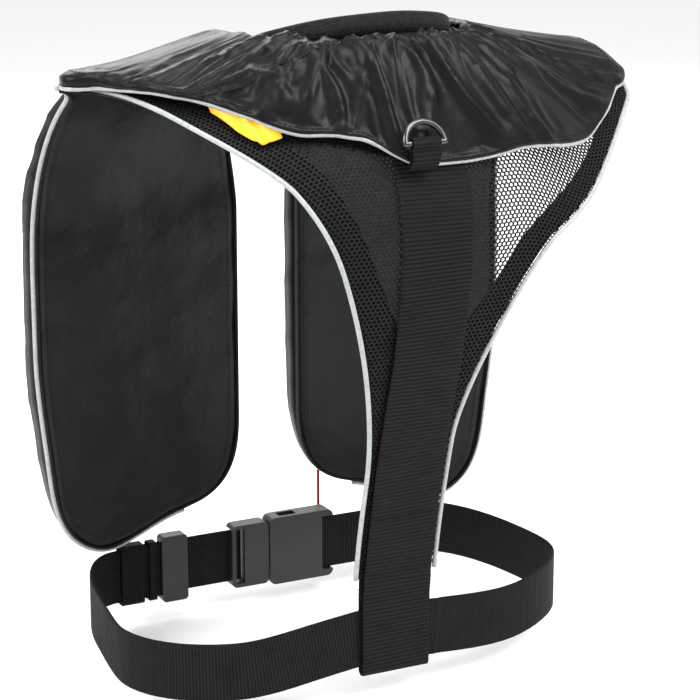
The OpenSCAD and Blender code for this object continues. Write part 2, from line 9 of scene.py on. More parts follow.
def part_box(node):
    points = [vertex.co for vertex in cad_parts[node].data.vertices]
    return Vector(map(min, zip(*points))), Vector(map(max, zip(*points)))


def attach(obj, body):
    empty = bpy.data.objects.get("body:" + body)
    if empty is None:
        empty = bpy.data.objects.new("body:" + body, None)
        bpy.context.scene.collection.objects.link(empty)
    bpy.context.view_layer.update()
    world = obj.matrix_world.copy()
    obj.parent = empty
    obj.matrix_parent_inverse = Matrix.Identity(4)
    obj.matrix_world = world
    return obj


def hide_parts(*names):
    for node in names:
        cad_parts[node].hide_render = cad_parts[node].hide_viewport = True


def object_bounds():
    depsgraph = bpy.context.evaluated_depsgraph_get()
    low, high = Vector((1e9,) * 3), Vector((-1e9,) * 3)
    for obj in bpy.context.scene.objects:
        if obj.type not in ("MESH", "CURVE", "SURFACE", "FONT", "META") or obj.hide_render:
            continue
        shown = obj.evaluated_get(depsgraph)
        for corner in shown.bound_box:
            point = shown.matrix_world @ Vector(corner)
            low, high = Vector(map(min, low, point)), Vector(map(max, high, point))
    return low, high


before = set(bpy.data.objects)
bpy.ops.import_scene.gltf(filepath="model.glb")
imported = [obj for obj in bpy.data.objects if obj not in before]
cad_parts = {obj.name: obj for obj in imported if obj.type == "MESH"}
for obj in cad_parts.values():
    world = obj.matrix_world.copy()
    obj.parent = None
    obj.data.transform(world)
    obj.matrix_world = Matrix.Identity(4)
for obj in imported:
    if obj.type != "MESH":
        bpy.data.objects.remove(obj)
cad_box = [list(corner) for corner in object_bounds()]
MM = 0.001
ROOT = "jacket"
SIDES = (("left", 1), ("right", -1))

# ---- camera, light and floor
CAMERA_AZIMUTH = 153.0
CAMERA_ELEVATION = 15.0
CAMERA_DISTANCE = 1.6
CAMERA_TARGET = (0.0, 0.0, -0.190)
CAMERA_LENS = 122.3
FLOOR_DROP = 0.010


def direction(azimuth, elevation):
    """The unit way from the target towards an azimuth and elevation in degrees."""
    az, el = math.radians(azimuth), math.radians(elevation)
    return Vector((math.sin(az) * math.cos(el), -math.cos(az) * math.cos(el), math.sin(el)))


def make_camera():
    data = bpy.data.cameras.new("camera")
    data.lens = CAMERA_LENS
    data.sensor_width = 36.0
    data.clip_start = 0.05
    data.clip_end = 50
    camera = bpy.data.objects.new("camera", data)
    bpy.context.collection.objects.link(camera)
    back = direction(CAMERA_AZIMUTH, CAMERA_ELEVATION)
    camera.matrix_world = back.to_track_quat("Z", "Y").to_matrix().to_4x4()
    camera.location = Vector(CAMERA_TARGET) + back * CAMERA_DISTANCE
    bpy.context.scene.camera = camera


def make_light(name, azimuth, elevation, distance, size, power):
    data = bpy.data.lights.new(name, "AREA")
    data.size = size
    data.energy = power
    lamp = bpy.data.objects.new(name, data)
    bpy.context.collection.objects.link(lamp)
    way = direction(azimuth, elevation)
    lamp.location = Vector(CAMERA_TARGET) + way * distance
    lamp.rotation_euler = way.to_track_quat("Z", "Y").to_euler()


def make_stage():
    world = bpy.data.worlds.new("world")
    world.use_nodes = True
    background = world.node_tree.nodes["Background"]
    background.inputs["Color"].default_value = (1, 1, 1, 1)
    background.inputs["Strength"].default_value = 0.9
    bpy.context.scene.world = world
    bpy.context.scene.view_settings.view_transform = "Standard"
    bpy.ops.mesh.primitive_plane_add(size=12, location=(0, 0, cad_box[0][2] - FLOOR_DROP))
    floor = bpy.context.object
    floor.name = "floor"
    mat = bpy.data.materials.new("floor_pale")
    mat.use_nodes = True
    bsdf = mat.node_tree.nodes["Principled BSDF"]
    bsdf.inputs["Base Color"].default_value = (0.93, 0.93, 0.93, 1)
    bsdf.inputs["Roughness"].default_value = 0.9
    floor.data.materials.append(mat)
    make_light("key", 205, 48, 1.9, 0.9, 34)
    make_light("side", 88, 34, 1.9, 0.8, 24)
    make_light("front", 345, 35, 2.2, 1.2, 20)
    make_light("top", 150, 82, 1.8, 0.9, 22)


# ---- the surface that soft parts lie on
# The same surface as in the CAD source, in millimetres. A place on it is (x, t): t is the way along
# the body from the top of the shoulder, above zero down the back and below zero down the chest.
BACK_DEPTH, CHEST_DEPTH, SHOULDER_Z, SHOULDER_DROP, ARCH_H = 136, 108, 14, 22, 115
BODY_Y, BODY_HALF, BODY_ROUND, BACK_QUARTER, CHEST_QUARTER = -20, 230, 2.4, 200, 175
CHEST_CURVE, NECK_Y, NECK_R = 15, -5, 66
NECK_OUT = NECK_R + 6
WAIST_FROM, WAIST_SPAN, WAIST_IN = -70, 300, 56
YOKE_HALF, YOKE_HEM, LOBE_IN, LOBE_OUT, LOBE_LEN, LOBE_DEPTH = 191, 140, 25, 178, 403, 48
HEM_LIFT, HEM_STEP, NECK_LIFT = 45, 18, 31
PANEL_MID_HALF, PANEL_LOW_HALF, PANEL_END, PANEL_LEAN = 88, 28, 427, 25
STRAP_W, BELT_W, BELT_Z = 50, 40, -376
SEAM_T, END_ROUND, LOBE_NIP, LOBE_TAPER = -12, 71, 12, 10


def smooth(k):
    c = np.clip(k, 0, 1)
    return c * c * (3 - 2 * c)


def on_body(x, t):
    """The point of the body's surface at the place (x, t)."""
    x, t = np.broadcast_arrays(np.asarray(x, float), np.asarray(t, float))
    quarter = np.where(t >= 0, BACK_QUARTER, CHEST_QUARTER)
    a = np.minimum(np.abs(t), quarter) / quarter * math.pi / 2
    arch_z = SHOULDER_Z - SHOULDER_DROP * smooth((np.abs(x) - 60) / 80) - ARCH_H
    z = arch_z + ARCH_H * np.cos(a) - np.maximum(0, np.abs(t) - quarter)
    side = (1 - (np.minimum(np.abs(x), BODY_HALF - 1) / BODY_HALF) ** BODY_ROUND) ** (1 / BODY_ROUND)
    back = (BACK_DEPTH - WAIST_IN * smooth((WAIST_FROM - z) / WAIST_SPAN)) * side
    chest = CHEST_DEPTH - CHEST_CURVE * (x / LOBE_OUT) ** 2
    y = BODY_Y + np.sin(a) * np.where(t >= 0, back, -chest)
    return np.stack([x, y, z], -1)


def outward(x, t, e=0.5):
    """The surface's unit normal, from points e to each side."""
    x, t = np.broadcast_arrays(np.asarray(x, float), np.asarray(t, float))
    n = np.cross(on_body(x + e, t) - on_body(x - e, t), on_body(x, t + e) - on_body(x, t - e))
    return n / np.linalg.norm(n, axis=-1, keepdims=True)


def skin(x, t, d):
    """The point at height d above the place (x, t)."""
    return on_body(x, t) + np.asarray(d, float)[..., None] * outward(x, t)


def lifted(places, d):
    """Points at height d above an array of places."""
    return skin(places[..., 0], places[..., 1], np.full(places.shape[:-1], d))


def normals(places):
    return outward(places[..., 0], places[..., 1])


def neck_t(x, r=NECK_OUT):
    """Where a circle of radius r round the neck crosses the back at x."""
    y = NECK_Y + r * np.sqrt(np.maximum(0, 1 - (x / r) ** 2))
    side = (1 - (np.abs(x) / BODY_HALF) ** BODY_ROUND) ** (1 / BODY_ROUND)
    return BACK_QUARTER / 90 * np.degrees(np.arcsin((y - BODY_Y) / (BACK_DEPTH * side)))


def lobe_x(s, c):
    """Sideways place across a lobe, c from 0 at its inner to 1 at its outer edge."""
    end = (1 - (np.maximum(0, s - (LOBE_LEN - END_ROUND + 1)) / END_ROUND) ** 3) ** (1 / 3)
    inner = LOBE_IN + (NECK_OUT + 1 - LOBE_IN) * (1 - smooth(s / 190))
    outer = LOBE_OUT - LOBE_NIP * (1 - smooth(s / 200)) - LOBE_TAPER * smooth((s - 250) / 130)
    outer = outer + (YOKE_HALF - LOBE_OUT + LOBE_NIP) * (1 - smooth(s / 60))
    return (inner + outer) / 2 + (2 * c - 1) * end * (outer - inner) / 2


def yoke_low(x):
    """The cover's lower hem on the back."""
    step = HEM_STEP * smooth((x - 8) / 35) + HEM_LIFT * smooth((x - 70) / 60)
    return YOKE_HEM - 85 * (np.abs(x) / YOKE_HALF) ** 3 - step


def panel_half(t, hand):
    """Half width of the mesh panel; hand is 1 on the wearer's left and -1 on the right."""
    t, start, end = np.asarray(t, float), 165 - PANEL_LEAN * hand, 340 + 10 * hand
    flare = np.minimum(195, PANEL_MID_HALF + (0.78 - 0.17 * hand) * (start - t))
    ease = (np.maximum(0, end - t) / (end - start)) ** 1.6
    return np.where(t < start, flare, PANEL_LOW_HALF + (PANEL_MID_HALF - PANEL_LOW_HALF) * ease)


# ---- mesh helpers
def mesh_piece(name, points, faces, mat, smooth_shade=True, uvs=None):
    data = bpy.data.meshes.new(name)
    data.from_pydata([tuple(p) for p in np.asarray(points) * MM], [], [tuple(f) for f in faces])
    data.validate()
    if uvs is not None:
        layer = data.uv_layers.new(name="UVMap")
        index = np.empty(len(data.loops), dtype=np.int32)
        data.loops.foreach_get("vertex_index", index)
        layer.data.foreach_set("uv", np.asarray(uvs, np.float32)[index].ravel())
    data.polygons.foreach_set("use_smooth", [smooth_shade] * len(data.polygons))
    data.materials.append(mat)
    piece = bpy.data.objects.new(name, data)
    bpy.context.collection.objects.link(piece)
    return piece


def grid_faces(rows, cols, closed=False):
    """Quads of a grid of rows by cols points, row by row."""
    last = cols if closed else cols - 1
    return [
        (i * cols + j, i * cols + (j + 1) % cols, (i + 1) * cols + (j + 1) % cols, (i + 1) * cols + j)
        for i in range(rows - 1)
        for j in range(last)
    ]


def sheet_grid(name, points, mat, thick):
    """A cloth sheet from an array of points (rows, cols, 3) in millimetres, with thickness."""
    rows, cols = points.shape[:2]
    u, v = np.meshgrid(np.linspace(0, 1, cols), np.linspace(0, 1, rows))
    uvs = np.stack([u.ravel(), v.ravel()], -1)
    piece = mesh_piece(name, points.reshape(-1, 3), grid_faces(rows, cols), mat, uvs=uvs)
    add_thickness(piece, thick)
    return piece


def add_thickness(piece, thick):
    """Thicken a sheet along its normals, and keep the result as its mesh."""
    mod = piece.modifiers.new("thick", "SOLIDIFY")
    mod.thickness = thick * MM
    mod.offset = 1.0
    bpy.context.view_layer.update()
    graph = bpy.context.evaluated_depsgraph_get()
    data = bpy.data.meshes.new_from_object(piece.evaluated_get(graph))
    old = piece.data
    piece.modifiers.clear()
    piece.data = data
    bpy.data.meshes.remove(old)


def frames_along(mid, up):
    """Unit ways up and across for points on a line, up kept near the given normals."""
    way = np.gradient(mid, axis=0)
    way /= np.linalg.norm(way, axis=1, keepdims=True)
    across = np.cross(way, up)
    across /= np.linalg.norm(across, axis=1, keepdims=True)
    return np.cross(across, way), across


def swept(name, mid, up, section, mat, swell=None):
    """A section, as pairs (across, up) in millimetres, swept along a line of points. swell makes
    it thicker at each point. Its UVs are metres along it and round it."""
    high, across = frames_along(mid, up)
    section = np.asarray(section, float)
    thick = np.zeros(len(mid)) if swell is None else swell
    high_at = section[None, :, 1] + np.sign(section[None, :, 1]) * thick[:, None]
    rings = mid[:, None] + section[None, :, :1] * across[:, None] + high_at[..., None] * high[:, None]
    rows, cols = rings.shape[:2]
    faces = [(a, d, c, b) for a, b, c, d in grid_faces(rows, cols, closed=True)]
    faces += [tuple(range(cols)), tuple(reversed(range((rows - 1) * cols, rows * cols)))]
    far = np.r_[0, np.cumsum(np.linalg.norm(np.diff(mid, axis=0), axis=1))]
    round_it = np.r_[0, np.cumsum(np.linalg.norm(np.diff(section, axis=0), axis=1))]
    u, v = np.meshgrid(far, round_it, indexing="ij")
    uvs = np.stack([u.ravel(), v.ravel()], -1) * MM
    return mesh_piece(name, rings.reshape(-1, 3), faces, mat, uvs=uvs)


def round_section(r, sides=12):
    a = np.arange(sides) * 2 * math.pi / sides
    return np.stack([r * np.cos(a), r * np.sin(a)], -1)


def flat_section(width, thick, steps=10):
    """A webbing's section: a flat band with rounded selvedges."""
    half, r = width / 2, thick / 2
    x = np.linspace(-half + r, half - r, steps)
    top = np.stack([x, np.full_like(x, r)], -1)
    turn = np.linspace(90, -90, 5)[1:-1] * math.pi / 180
    right = np.stack([half - r + r * np.cos(turn), r * np.sin(turn)], -1)
    left = -right
    return np.concatenate([top, right, top[::-1] * [1, -1], left])


def resample(points, count):
    """Points spaced evenly along a polyline."""
    points = np.asarray(points, float)
    return follow(points, points, count)


def follow(line, values, count):
    """Values known at a line's own points, read at points spaced evenly along it."""
    step = np.r_[0, np.cumsum(np.linalg.norm(np.diff(line, axis=0), axis=1))]
    want = np.linspace(0, step[-1], count)
    return np.stack([np.interp(want, step, values[:, k]) for k in range(values.shape[1])], -1)


def field(points, scale, seed):
    """Smooth noise at each point, in millimetres, between about -1 and 1."""
    flat = np.asarray(points, float).reshape(-1, 3) / scale
    values = [noise.noise(Vector(p) + Vector((seed, seed * 1.7, -seed))) for p in flat]
    return np.array(values).reshape(np.asarray(points).shape[:-1]) * 1.6


def use(piece, slot, *nodes, body=ROOT):
    """Ride a piece on a body instead of the CAD nodes that it stands for; slot is not used."""
    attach(piece, body)
    if nodes:
        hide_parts(*nodes)


# ---- materials
class Nodes:
    """Short names for building a node material."""

    def __init__(self, name):
        self.mat = bpy.data.materials.new(name)
        self.mat.use_nodes = True
        self.tree = self.mat.node_tree
        self.bsdf = self.tree.nodes["Principled BSDF"]
        self.place = self.tree.nodes.new("ShaderNodeTexCoord").outputs["Object"]

    def node(self, kind, **inputs):
        made = self.tree.nodes.new(kind)
        for key, value in inputs.items():
            self.put(made.inputs[key], value)
        return made

    def put(self, slot, value):
        if isinstance(value, bpy.types.NodeSocket):
            self.tree.links.new(value, slot)
        else:
            slot.default_value = value

    def math(self, operation, a, b=0.0):
        made = self.tree.nodes.new("ShaderNodeMath")
        made.operation = operation
        self.put(made.inputs[0], a)
        self.put(made.inputs[1], b)
        return made.outputs[0]

    def noise(self, scale, detail=3.0, rough=0.55, vector=None):
        made = self.node("ShaderNodeTexNoise", Scale=scale, Detail=detail, Roughness=rough)
        self.put(made.inputs["Vector"], vector or self.place)
        return made.outputs[0]

    def wave(self, scale, vector):
        made = self.node("ShaderNodeTexWave", Scale=scale, Distortion=0.0, Vector=vector)
        made.bands_direction = "DIAGONAL"
        return made.outputs["Fac"]

    def ripple(self, value, period):
        """0 to 1 and back once every period."""
        turned = self.math("SINE", self.math("MULTIPLY", value, 2 * math.pi / period))
        return self.math("MULTIPLY", self.math("ADD", turned, 1.0), 0.5)

    def scaled(self, x, y, z):
        made = self.tree.nodes.new("ShaderNodeMapping")
        made.inputs["Scale"].default_value = (x, y, z)
        self.tree.links.new(self.place, made.inputs["Vector"])
        return made.outputs[0]

    def ramp(self, value, *stops):
        made = self.tree.nodes.new("ShaderNodeValToRGB")
        while len(made.color_ramp.elements) < len(stops):
            made.color_ramp.elements.new(0.5)
        for element, (at, colour) in zip(made.color_ramp.elements, stops):
            element.position = at
            element.color = (*colour, 1)
        self.put(made.inputs[0], value)
        return made.outputs[0]

    def bump(self, height, strength, distance, under=None):
        made = self.node("ShaderNodeBump", Strength=strength, Distance=distance, Height=height)
        if under is not None:
            self.put(made.inputs["Normal"], under)
        return made.outputs[0]

    def finish(self, colour, normal, roughness, **shader):
        """Join the shader's sockets. The constants are set on the shader's own sockets."""
        self.put(self.bsdf.inputs["Base Color"], colour)
        self.put(self.bsdf.inputs["Normal"], normal)
        self.put(self.bsdf.inputs["Roughness"], roughness)
        for key, value in shader.items():
            self.bsdf.inputs[key.replace("_", " ")].default_value = value
        return self.mat


def weave(n, pitch):
    """Plain weave of that pitch in metres, from two crossed waves along the mesh's axes."""
    scale = math.pi / pitch / 10
    a = n.wave(scale, n.scaled(1.0, 1.0, 1.0))
    b = n.wave(scale, n.scaled(1.0, -1.0, -1.0))
    return n.math("MAXIMUM", a, b)


def nylon(name, dark, light, rough, crinkle, spec):
    n = Nodes(name)
    tone = n.ramp(n.noise(26, 5), (0.3, dark), (0.75, light))
    broad = n.bump(n.noise(48, 3, 0.5), crinkle, 0.0016)
    small = n.bump(n.noise(190, 3, 0.5), crinkle * 0.5, 0.0004, broad)
    fine = n.bump(weave(n, 0.0007), 0.12, 0.0002, small)
    gloss = n.math("ADD", n.math("MULTIPLY", n.noise(90, 3), 0.16), rough - 0.08)
    return n.finish(tone, fine, gloss, Specular_IOR_Level=spec)


def piping_material():
    n = Nodes("piping_reflective")
    tone = n.ramp(n.noise(320, 3), (0.3, (0.27, 0.29, 0.285)), (0.7, (0.37, 0.395, 0.388)))
    knit = n.bump(weave(n, 0.0006), 0.35, 0.0002)
    return n.finish(tone, knit, 0.45, Specular_IOR_Level=0.4)


def webbing_material(name, pitch, dark, light):
    """Webbing whose ribs run across it, its colour lighter on the rib crests and darker in the grooves as
    painted light and shade that follow the bump. Its UVs are metres along and across.
    """
    n = Nodes(name)
    pin = n.tree.nodes.new("ShaderNodeUVMap")
    pin.uv_map = "UVMap"
    split = n.node("ShaderNodeSeparateXYZ", Vector=pin.outputs[0])
    ribs = n.ripple(split.outputs[0], pitch)
    yarns = n.ripple(split.outputs[1], 0.0013)
    mixed = n.math("ADD", n.math("MULTIPLY", ribs, 0.62), n.math("MULTIPLY", yarns, 0.38))
    rib_shade_and_tone = n.math("MULTIPLY", mixed, n.math("ADD", n.noise(75, 4), 0.45))
    # painted shade in the rib grooves and painted light on the crests, from the bump's own height, mixed
    # with tone that differs at random
    tone = n.ramp(rib_shade_and_tone, (0.12, dark), (0.85, light))
    fuzz = n.bump(n.noise(1400, 3), 0.3, 0.0003, n.bump(mixed, 0.75, 0.0005))
    return n.finish(tone, fuzz, 0.46, Specular_IOR_Level=0.035)


def yarn_material(name, dark, light, rough=0.7, pitch=0.0009, strength=0.5, grain=300):
    n = Nodes(name)
    tone = n.ramp(n.noise(grain, 4), (0.3, dark), (0.75, light))
    cloth = n.bump(weave(n, pitch), strength, 0.0003)
    fuzz = n.bump(n.noise(1100, 3), 0.25, 0.0002, cloth)
    return n.finish(tone, fuzz, rough, Sheen_Weight=0.02, Specular_IOR_Level=0.12)


def plastic(name, dark, light, rough, grain=0.25, coat=0.0):
    n = Nodes(name)
    tone = n.ramp(n.noise(60, 4), (0.3, dark), (0.75, light))
    worn = n.math("ADD", n.math("MULTIPLY", n.noise(140, 4), 0.14), rough - 0.07)
    moulded = n.bump(n.noise(1500, 2), grain, 0.00012)
    return n.finish(tone, moulded, worn, Coat_Weight=coat, Coat_Roughness=0.1)


def metal(name, dark, light, rough):
    n = Nodes(name)
    tone = n.ramp(n.noise(80, 5), (0.3, dark), (0.7, light))
    brushed = n.bump(n.noise(260, 3, 0.6, n.scaled(1, 1, 0.04)), 0.2, 0.0002)
    worn = n.math("ADD", n.math("MULTIPLY", n.noise(120, 4), 0.18), rough - 0.09)
    return n.finish(tone, brushed, worn, Metallic=1.0)


def make_materials():
    black = (0.004, 0.0037, 0.0042)
    webbing = (0.0055, 0.005, 0.0056), (0.016, 0.0145, 0.016)
    return {
        "cover": nylon("nylon_cover", (0.0036, 0.0031, 0.0038), (0.0075, 0.0066, 0.008), 0.33, 0.4, 0.11),
        "lining": nylon("nylon_lining", (0.0038, 0.0036, 0.004), (0.0075, 0.0072, 0.008), 0.34, 0.6,
                        0.18),
        "piping": piping_material(),
        "strap": webbing_material("webbing_strap", 0.0028, *webbing),
        "belt": webbing_material("webbing_belt", 0.0022, *webbing),
        "mesh": yarn_material("spacer_mesh", black, (0.013, 0.013, 0.0135), 0.6, 0.0006, 0.4),
        "backing": yarn_material("mesh_backing", (0.003, 0.003, 0.003), (0.007, 0.007, 0.0073), 0.8,
                                 0.0012, 0.8),
        "neoprene": yarn_material("neoprene", (0.009, 0.009, 0.011), (0.016, 0.016, 0.019), 0.75,
                                  0.0006, 0.5),
        "binding": yarn_material("binding", black, (0.014, 0.013, 0.014), 0.65, 0.0008, 0.8),
        "thread": yarn_material("thread", (0.008, 0.008, 0.009), (0.022, 0.021, 0.023), 0.5, 0.0004, 0.5),
        "bladder": nylon("coated_bladder", (0.85, 0.36, 0.0), (1.0, 0.52, 0.005), 0.42, 0.25, 0.4),
        "ring": plastic("ring_plastic", (0.004, 0.004, 0.004), (0.008, 0.008, 0.009), 0.16, 0.05, 0.5),
        "buckle": plastic("buckle_plastic", (0.009, 0.009, 0.01), (0.016, 0.016, 0.017), 0.48),
        "body": plastic("body_plastic", (0.018, 0.018, 0.02), (0.03, 0.03, 0.033), 0.5),
        "red": plastic("red_plastic", (0.42, 0.012, 0.008), (0.62, 0.025, 0.014), 0.34, 0.12, 0.2),
        "clear": plastic("cap_plastic", (0.6, 0.66, 0.66), (0.75, 0.8, 0.8), 0.3, 0.1, 0.2),
        "white": plastic("white_plastic", (0.66, 0.66, 0.62), (0.78, 0.78, 0.73), 0.5),
        "orange": plastic("whistle_plastic", (0.8, 0.17, 0.01), (0.95, 0.26, 0.015), 0.32, 0.1, 0.2),
        "pin": metal("steel_pin", (0.45, 0.45, 0.46), (0.62, 0.62, 0.63), 0.3),
        "bottle": metal("zinc_bottle", (0.38, 0.39, 0.4), (0.58, 0.59, 0.6), 0.36),
        "rubber": plastic("gasket_rubber", (0.006, 0.006, 0.006), (0.012, 0.012, 0.012), 0.7),
        "lanyard": yarn_material("lanyard", (0.35, 0.012, 0.008), (0.6, 0.03, 0.015), 0.6, 0.0005, 0.8),
        "tape": yarn_material("hook_tape", black, (0.015, 0.015, 0.015), 0.85, 0.0014, 1.0),
    }


NODE_MATERIALS = {
    "back_ring": "ring", "buckle_female": "buckle", "buckle_male": "buckle", "buckle_prongs": "buckle",
    "belt_adjuster": "buckle", "inflator_body": "body", "inflator_lever": "red", "lever_pin": "pin",
    "pull_toggle": "red", "gas_cylinder": "bottle", "water_cartridge": "white",
    "cartridge_cap": "clear", "manifold_disc": "body", "manifold_gasket": "rubber",
    "manifold_nut": "body", "oral_stem": "body", "oral_tube": "body", "oral_valve": "red",
    "oral_poppet": "white", "oral_cap": "body", "whistle": "orange", "whistle_clip": "buckle",
}


def finish_nodes(mats):
    for node, key in NODE_MATERIALS.items():
        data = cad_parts[node].data
        data.materials.clear()
        data.materials.append(mats[key])


# ---- cover
COVER_LOBE_ROWS = 84
COVER_YOKE_ROWS = 96
COVER_COLS = 44
FOLD_BROAD, FOLD_SMALL, FOLD_GATHERS = 7.5, 2.2, 0.9


def hem_wave(x):
    """How far the hem wanders from its even line."""
    return 1.6 * np.sin(x / 17 + 0.6) * smooth((x + 20) / 60) + 1.2 * np.sin(x / 29 + 2)


def half_outline(hand):
    """Inner and outer edge of half the cover, from the lobe's end to the middle of the back, as
    places (x, t); hand is 1 on the wearer's left and -1 on the right."""
    s = LOBE_LEN + (-SEAM_T - LOBE_LEN) * np.linspace(0, 1, COVER_LOBE_ROWS)
    inner = np.stack([lobe_x(s, 0.0), -s], -1)
    outer = np.stack([lobe_x(s, 1.0), -s], -1)
    a = np.linspace(0, math.pi / 2, 60)
    neck = NECK_OUT * np.cos(a)
    inner_yoke = np.r_[[inner[-1]], np.stack([neck, neck_t(neck)], -1)]
    x = np.linspace(YOKE_HALF, 0, 80)
    corner = 16
    hem = np.stack([x, yoke_low(x * hand) + hem_wave(x * hand)], -1)
    keep = x < YOKE_HALF - corner
    arc = np.linspace(0, math.pi / 2, 9)[1:]
    low = yoke_low((YOKE_HALF - corner) * hand)
    bend = np.stack(
        [YOKE_HALF - corner * (1 - np.cos(arc)), low - corner * (1 - np.sin(arc))], -1)
    outer_yoke = np.r_[[outer[-1]], bend, hem[keep]]
    return (
        np.r_[inner[:-1], resample(inner_yoke, COVER_YOKE_ROWS)],
        np.r_[outer[:-1], resample(outer_yoke, COVER_YOKE_ROWS)],
    )


def cover_places():
    """The cover's grid of places (x, t), from the left lobe's end round to the right lobe's."""
    v = np.linspace(0, 1, COVER_COLS)
    halves = []
    for hand in (1, -1):
        inner, outer = half_outline(hand)
        halves.append(inner[:, None] * (1 - v)[None, :, None] + outer[:, None] * v[None, :, None])
    return np.concatenate([halves[0], halves[1][-2::-1] * [-1, 1]])


def folds(round_it, v):
    """Creases that run from the collar towards the hem. round_it goes from 0 at the left shoulder
    to 1 at the right, and v from 0 at the collar to 1 at the hem."""
    round_it, v = np.broadcast_arrays(round_it, v)
    place = np.stack([round_it * 560, v * 46, 0 * v], -1)
    lean = field(place * [0.5, 0, 0], 40, 8.3) * 38 + field(place, 60, 1.7) * 14
    place[..., 0] += lean * (v - 0.25)
    broad = np.maximum(0, 1 - np.abs(field(place, 27, 4.4)) * 1.5) ** 1.3
    small = np.maximum(0, 1 - np.abs(field(place * [1, 1.3, 1], 12, 6.9)) * 1.4) ** 1.4
    gathers = np.sin(round_it * 190 + 5 * np.sin(round_it * 23)) * np.exp(-v / 0.12)
    return FOLD_BROAD * broad + FOLD_SMALL * small * broad + FOLD_GATHERS * gathers - 2.5


def lobe_rise(s, c):
    r = (s + SEAM_T) / (LOBE_LEN + SEAM_T)
    across = np.sqrt(np.maximum(0, 1 - (2 * c - 1) ** 4))
    down = np.sqrt(np.maximum(0, 1 - r ** 8))
    return across * down * (14 + (LOBE_DEPTH - 14) * smooth((r - 0.12) / 0.25))


def cover_height(places):
    """How far the cover stands off the body before it is simulated."""
    rows, cols = places.shape[:2]
    v = np.linspace(0, 1, cols)[None, :] * np.ones((rows, 1))
    s = -places[..., 1]
    lobe = 6 + lobe_rise(np.clip(s, -SEAM_T, LOBE_LEN), v)
    from_end = np.minimum(np.arange(rows), np.arange(rows)[::-1])[:, None]
    k = smooth((from_end - COVER_LOBE_ROWS) / 34)
    across = (np.arange(rows) - COVER_LOBE_ROWS) / (rows - 2 * COVER_LOBE_ROWS)
    across = np.clip(across, 0, 1)[:, None]
    yoke = 13.5 + 5 * np.sin(math.pi * np.clip(v * 1.15, 0, 1)) - 1.5 * v
    yoke = yoke + folds(across, v) * (0.2 + 0.8 * smooth((1 - v) / 0.14))
    crease = 1.6 * np.sin(s / 13 + 2.2 * np.sin(v * 5 + s / 40)) * np.sin(math.pi * v) ** 0.5
    return (lobe + crease * smooth((from_end - 3) / 12)) * (1 - k) + yoke * k


def neck_rise(places):
    """How far the cover is drawn up to the collar behind the neck."""
    v = np.linspace(0, 1, places.shape[1])[None, :]
    neck = places[:, :1, 0] / NECK_OUT
    at_back = (places[:, :1, 1] > 0) * np.maximum(0, 1 - neck ** 2)
    return NECK_LIFT * at_back * (1 - smooth(v / 0.9))


# shrink_min below zero makes the cloth larger than its place, and pressure lifts it a little
CLOTH = {
    "quality": 6, "mass": 0.12, "tension_stiffness": 18, "compression_stiffness": 18,
    "shear_stiffness": 6, "bending_stiffness": 0.9, "tension_damping": 6, "compression_damping": 6,
    "air_damping": 2, "pin_stiffness": 4, "shrink_min": -0.02, "uniform_pressure_force": 0.3,
}
CLOTH_FRAMES = 24
CLOTH_MOVE = 6  # the furthest that a point may move, in millimetres


def simulate(piece, pins, collider_points):
    """Cloth that is a little too large for its place, so it creases, held at its pins."""
    rows, cols = collider_points.shape[:2]
    under = mesh_piece("under", collider_points.reshape(-1, 3), grid_faces(rows, cols),
                       piece.data.materials[0])
    under.modifiers.new("hit", "COLLISION")
    under.collision.thickness_outer = 0.0012
    under.collision.cloth_friction = 8
    start = np.empty(len(piece.data.vertices) * 3)
    piece.data.vertices.foreach_get("co", start)
    group = piece.vertex_groups.new(name="pins")
    for index, weight in enumerate(pins.ravel()):
        if weight > 0.01:
            group.add([index], float(weight), "REPLACE")
    mod = piece.modifiers.new("cloth", "CLOTH")
    cloth = mod.settings
    for key, value in CLOTH.items():
        setattr(cloth, key, value)
    cloth.vertex_group_mass = "pins"
    cloth.use_pressure = True
    cloth.effector_weights.gravity = 0.3
    mod.collision_settings.distance_min = 0.0012
    mod.collision_settings.collision_quality = 3
    scene = bpy.context.scene
    mod.point_cache.frame_start, mod.point_cache.frame_end = 1, CLOTH_FRAMES
    for step in range(1, CLOTH_FRAMES + 1):
        scene.frame_set(step)
    graph = bpy.context.evaluated_depsgraph_get()
    done = piece.evaluated_get(graph).to_mesh()
    end = np.empty(len(start))
    done.vertices.foreach_get("co", end)
    piece.evaluated_get(graph).to_mesh_clear()
    piece.modifiers.clear()
    piece.vertex_groups.clear()
    move = (end - start).reshape(-1, 3)
    length = np.linalg.norm(move, axis=1, keepdims=True)
    move *= np.minimum(1, CLOTH_MOVE * MM / np.maximum(length, 1e-9))
    piece.data.vertices.foreach_set("co", (start + move.ravel()))
    piece.data.update()
    scene.frame_set(1)
    bpy.data.objects.remove(under)


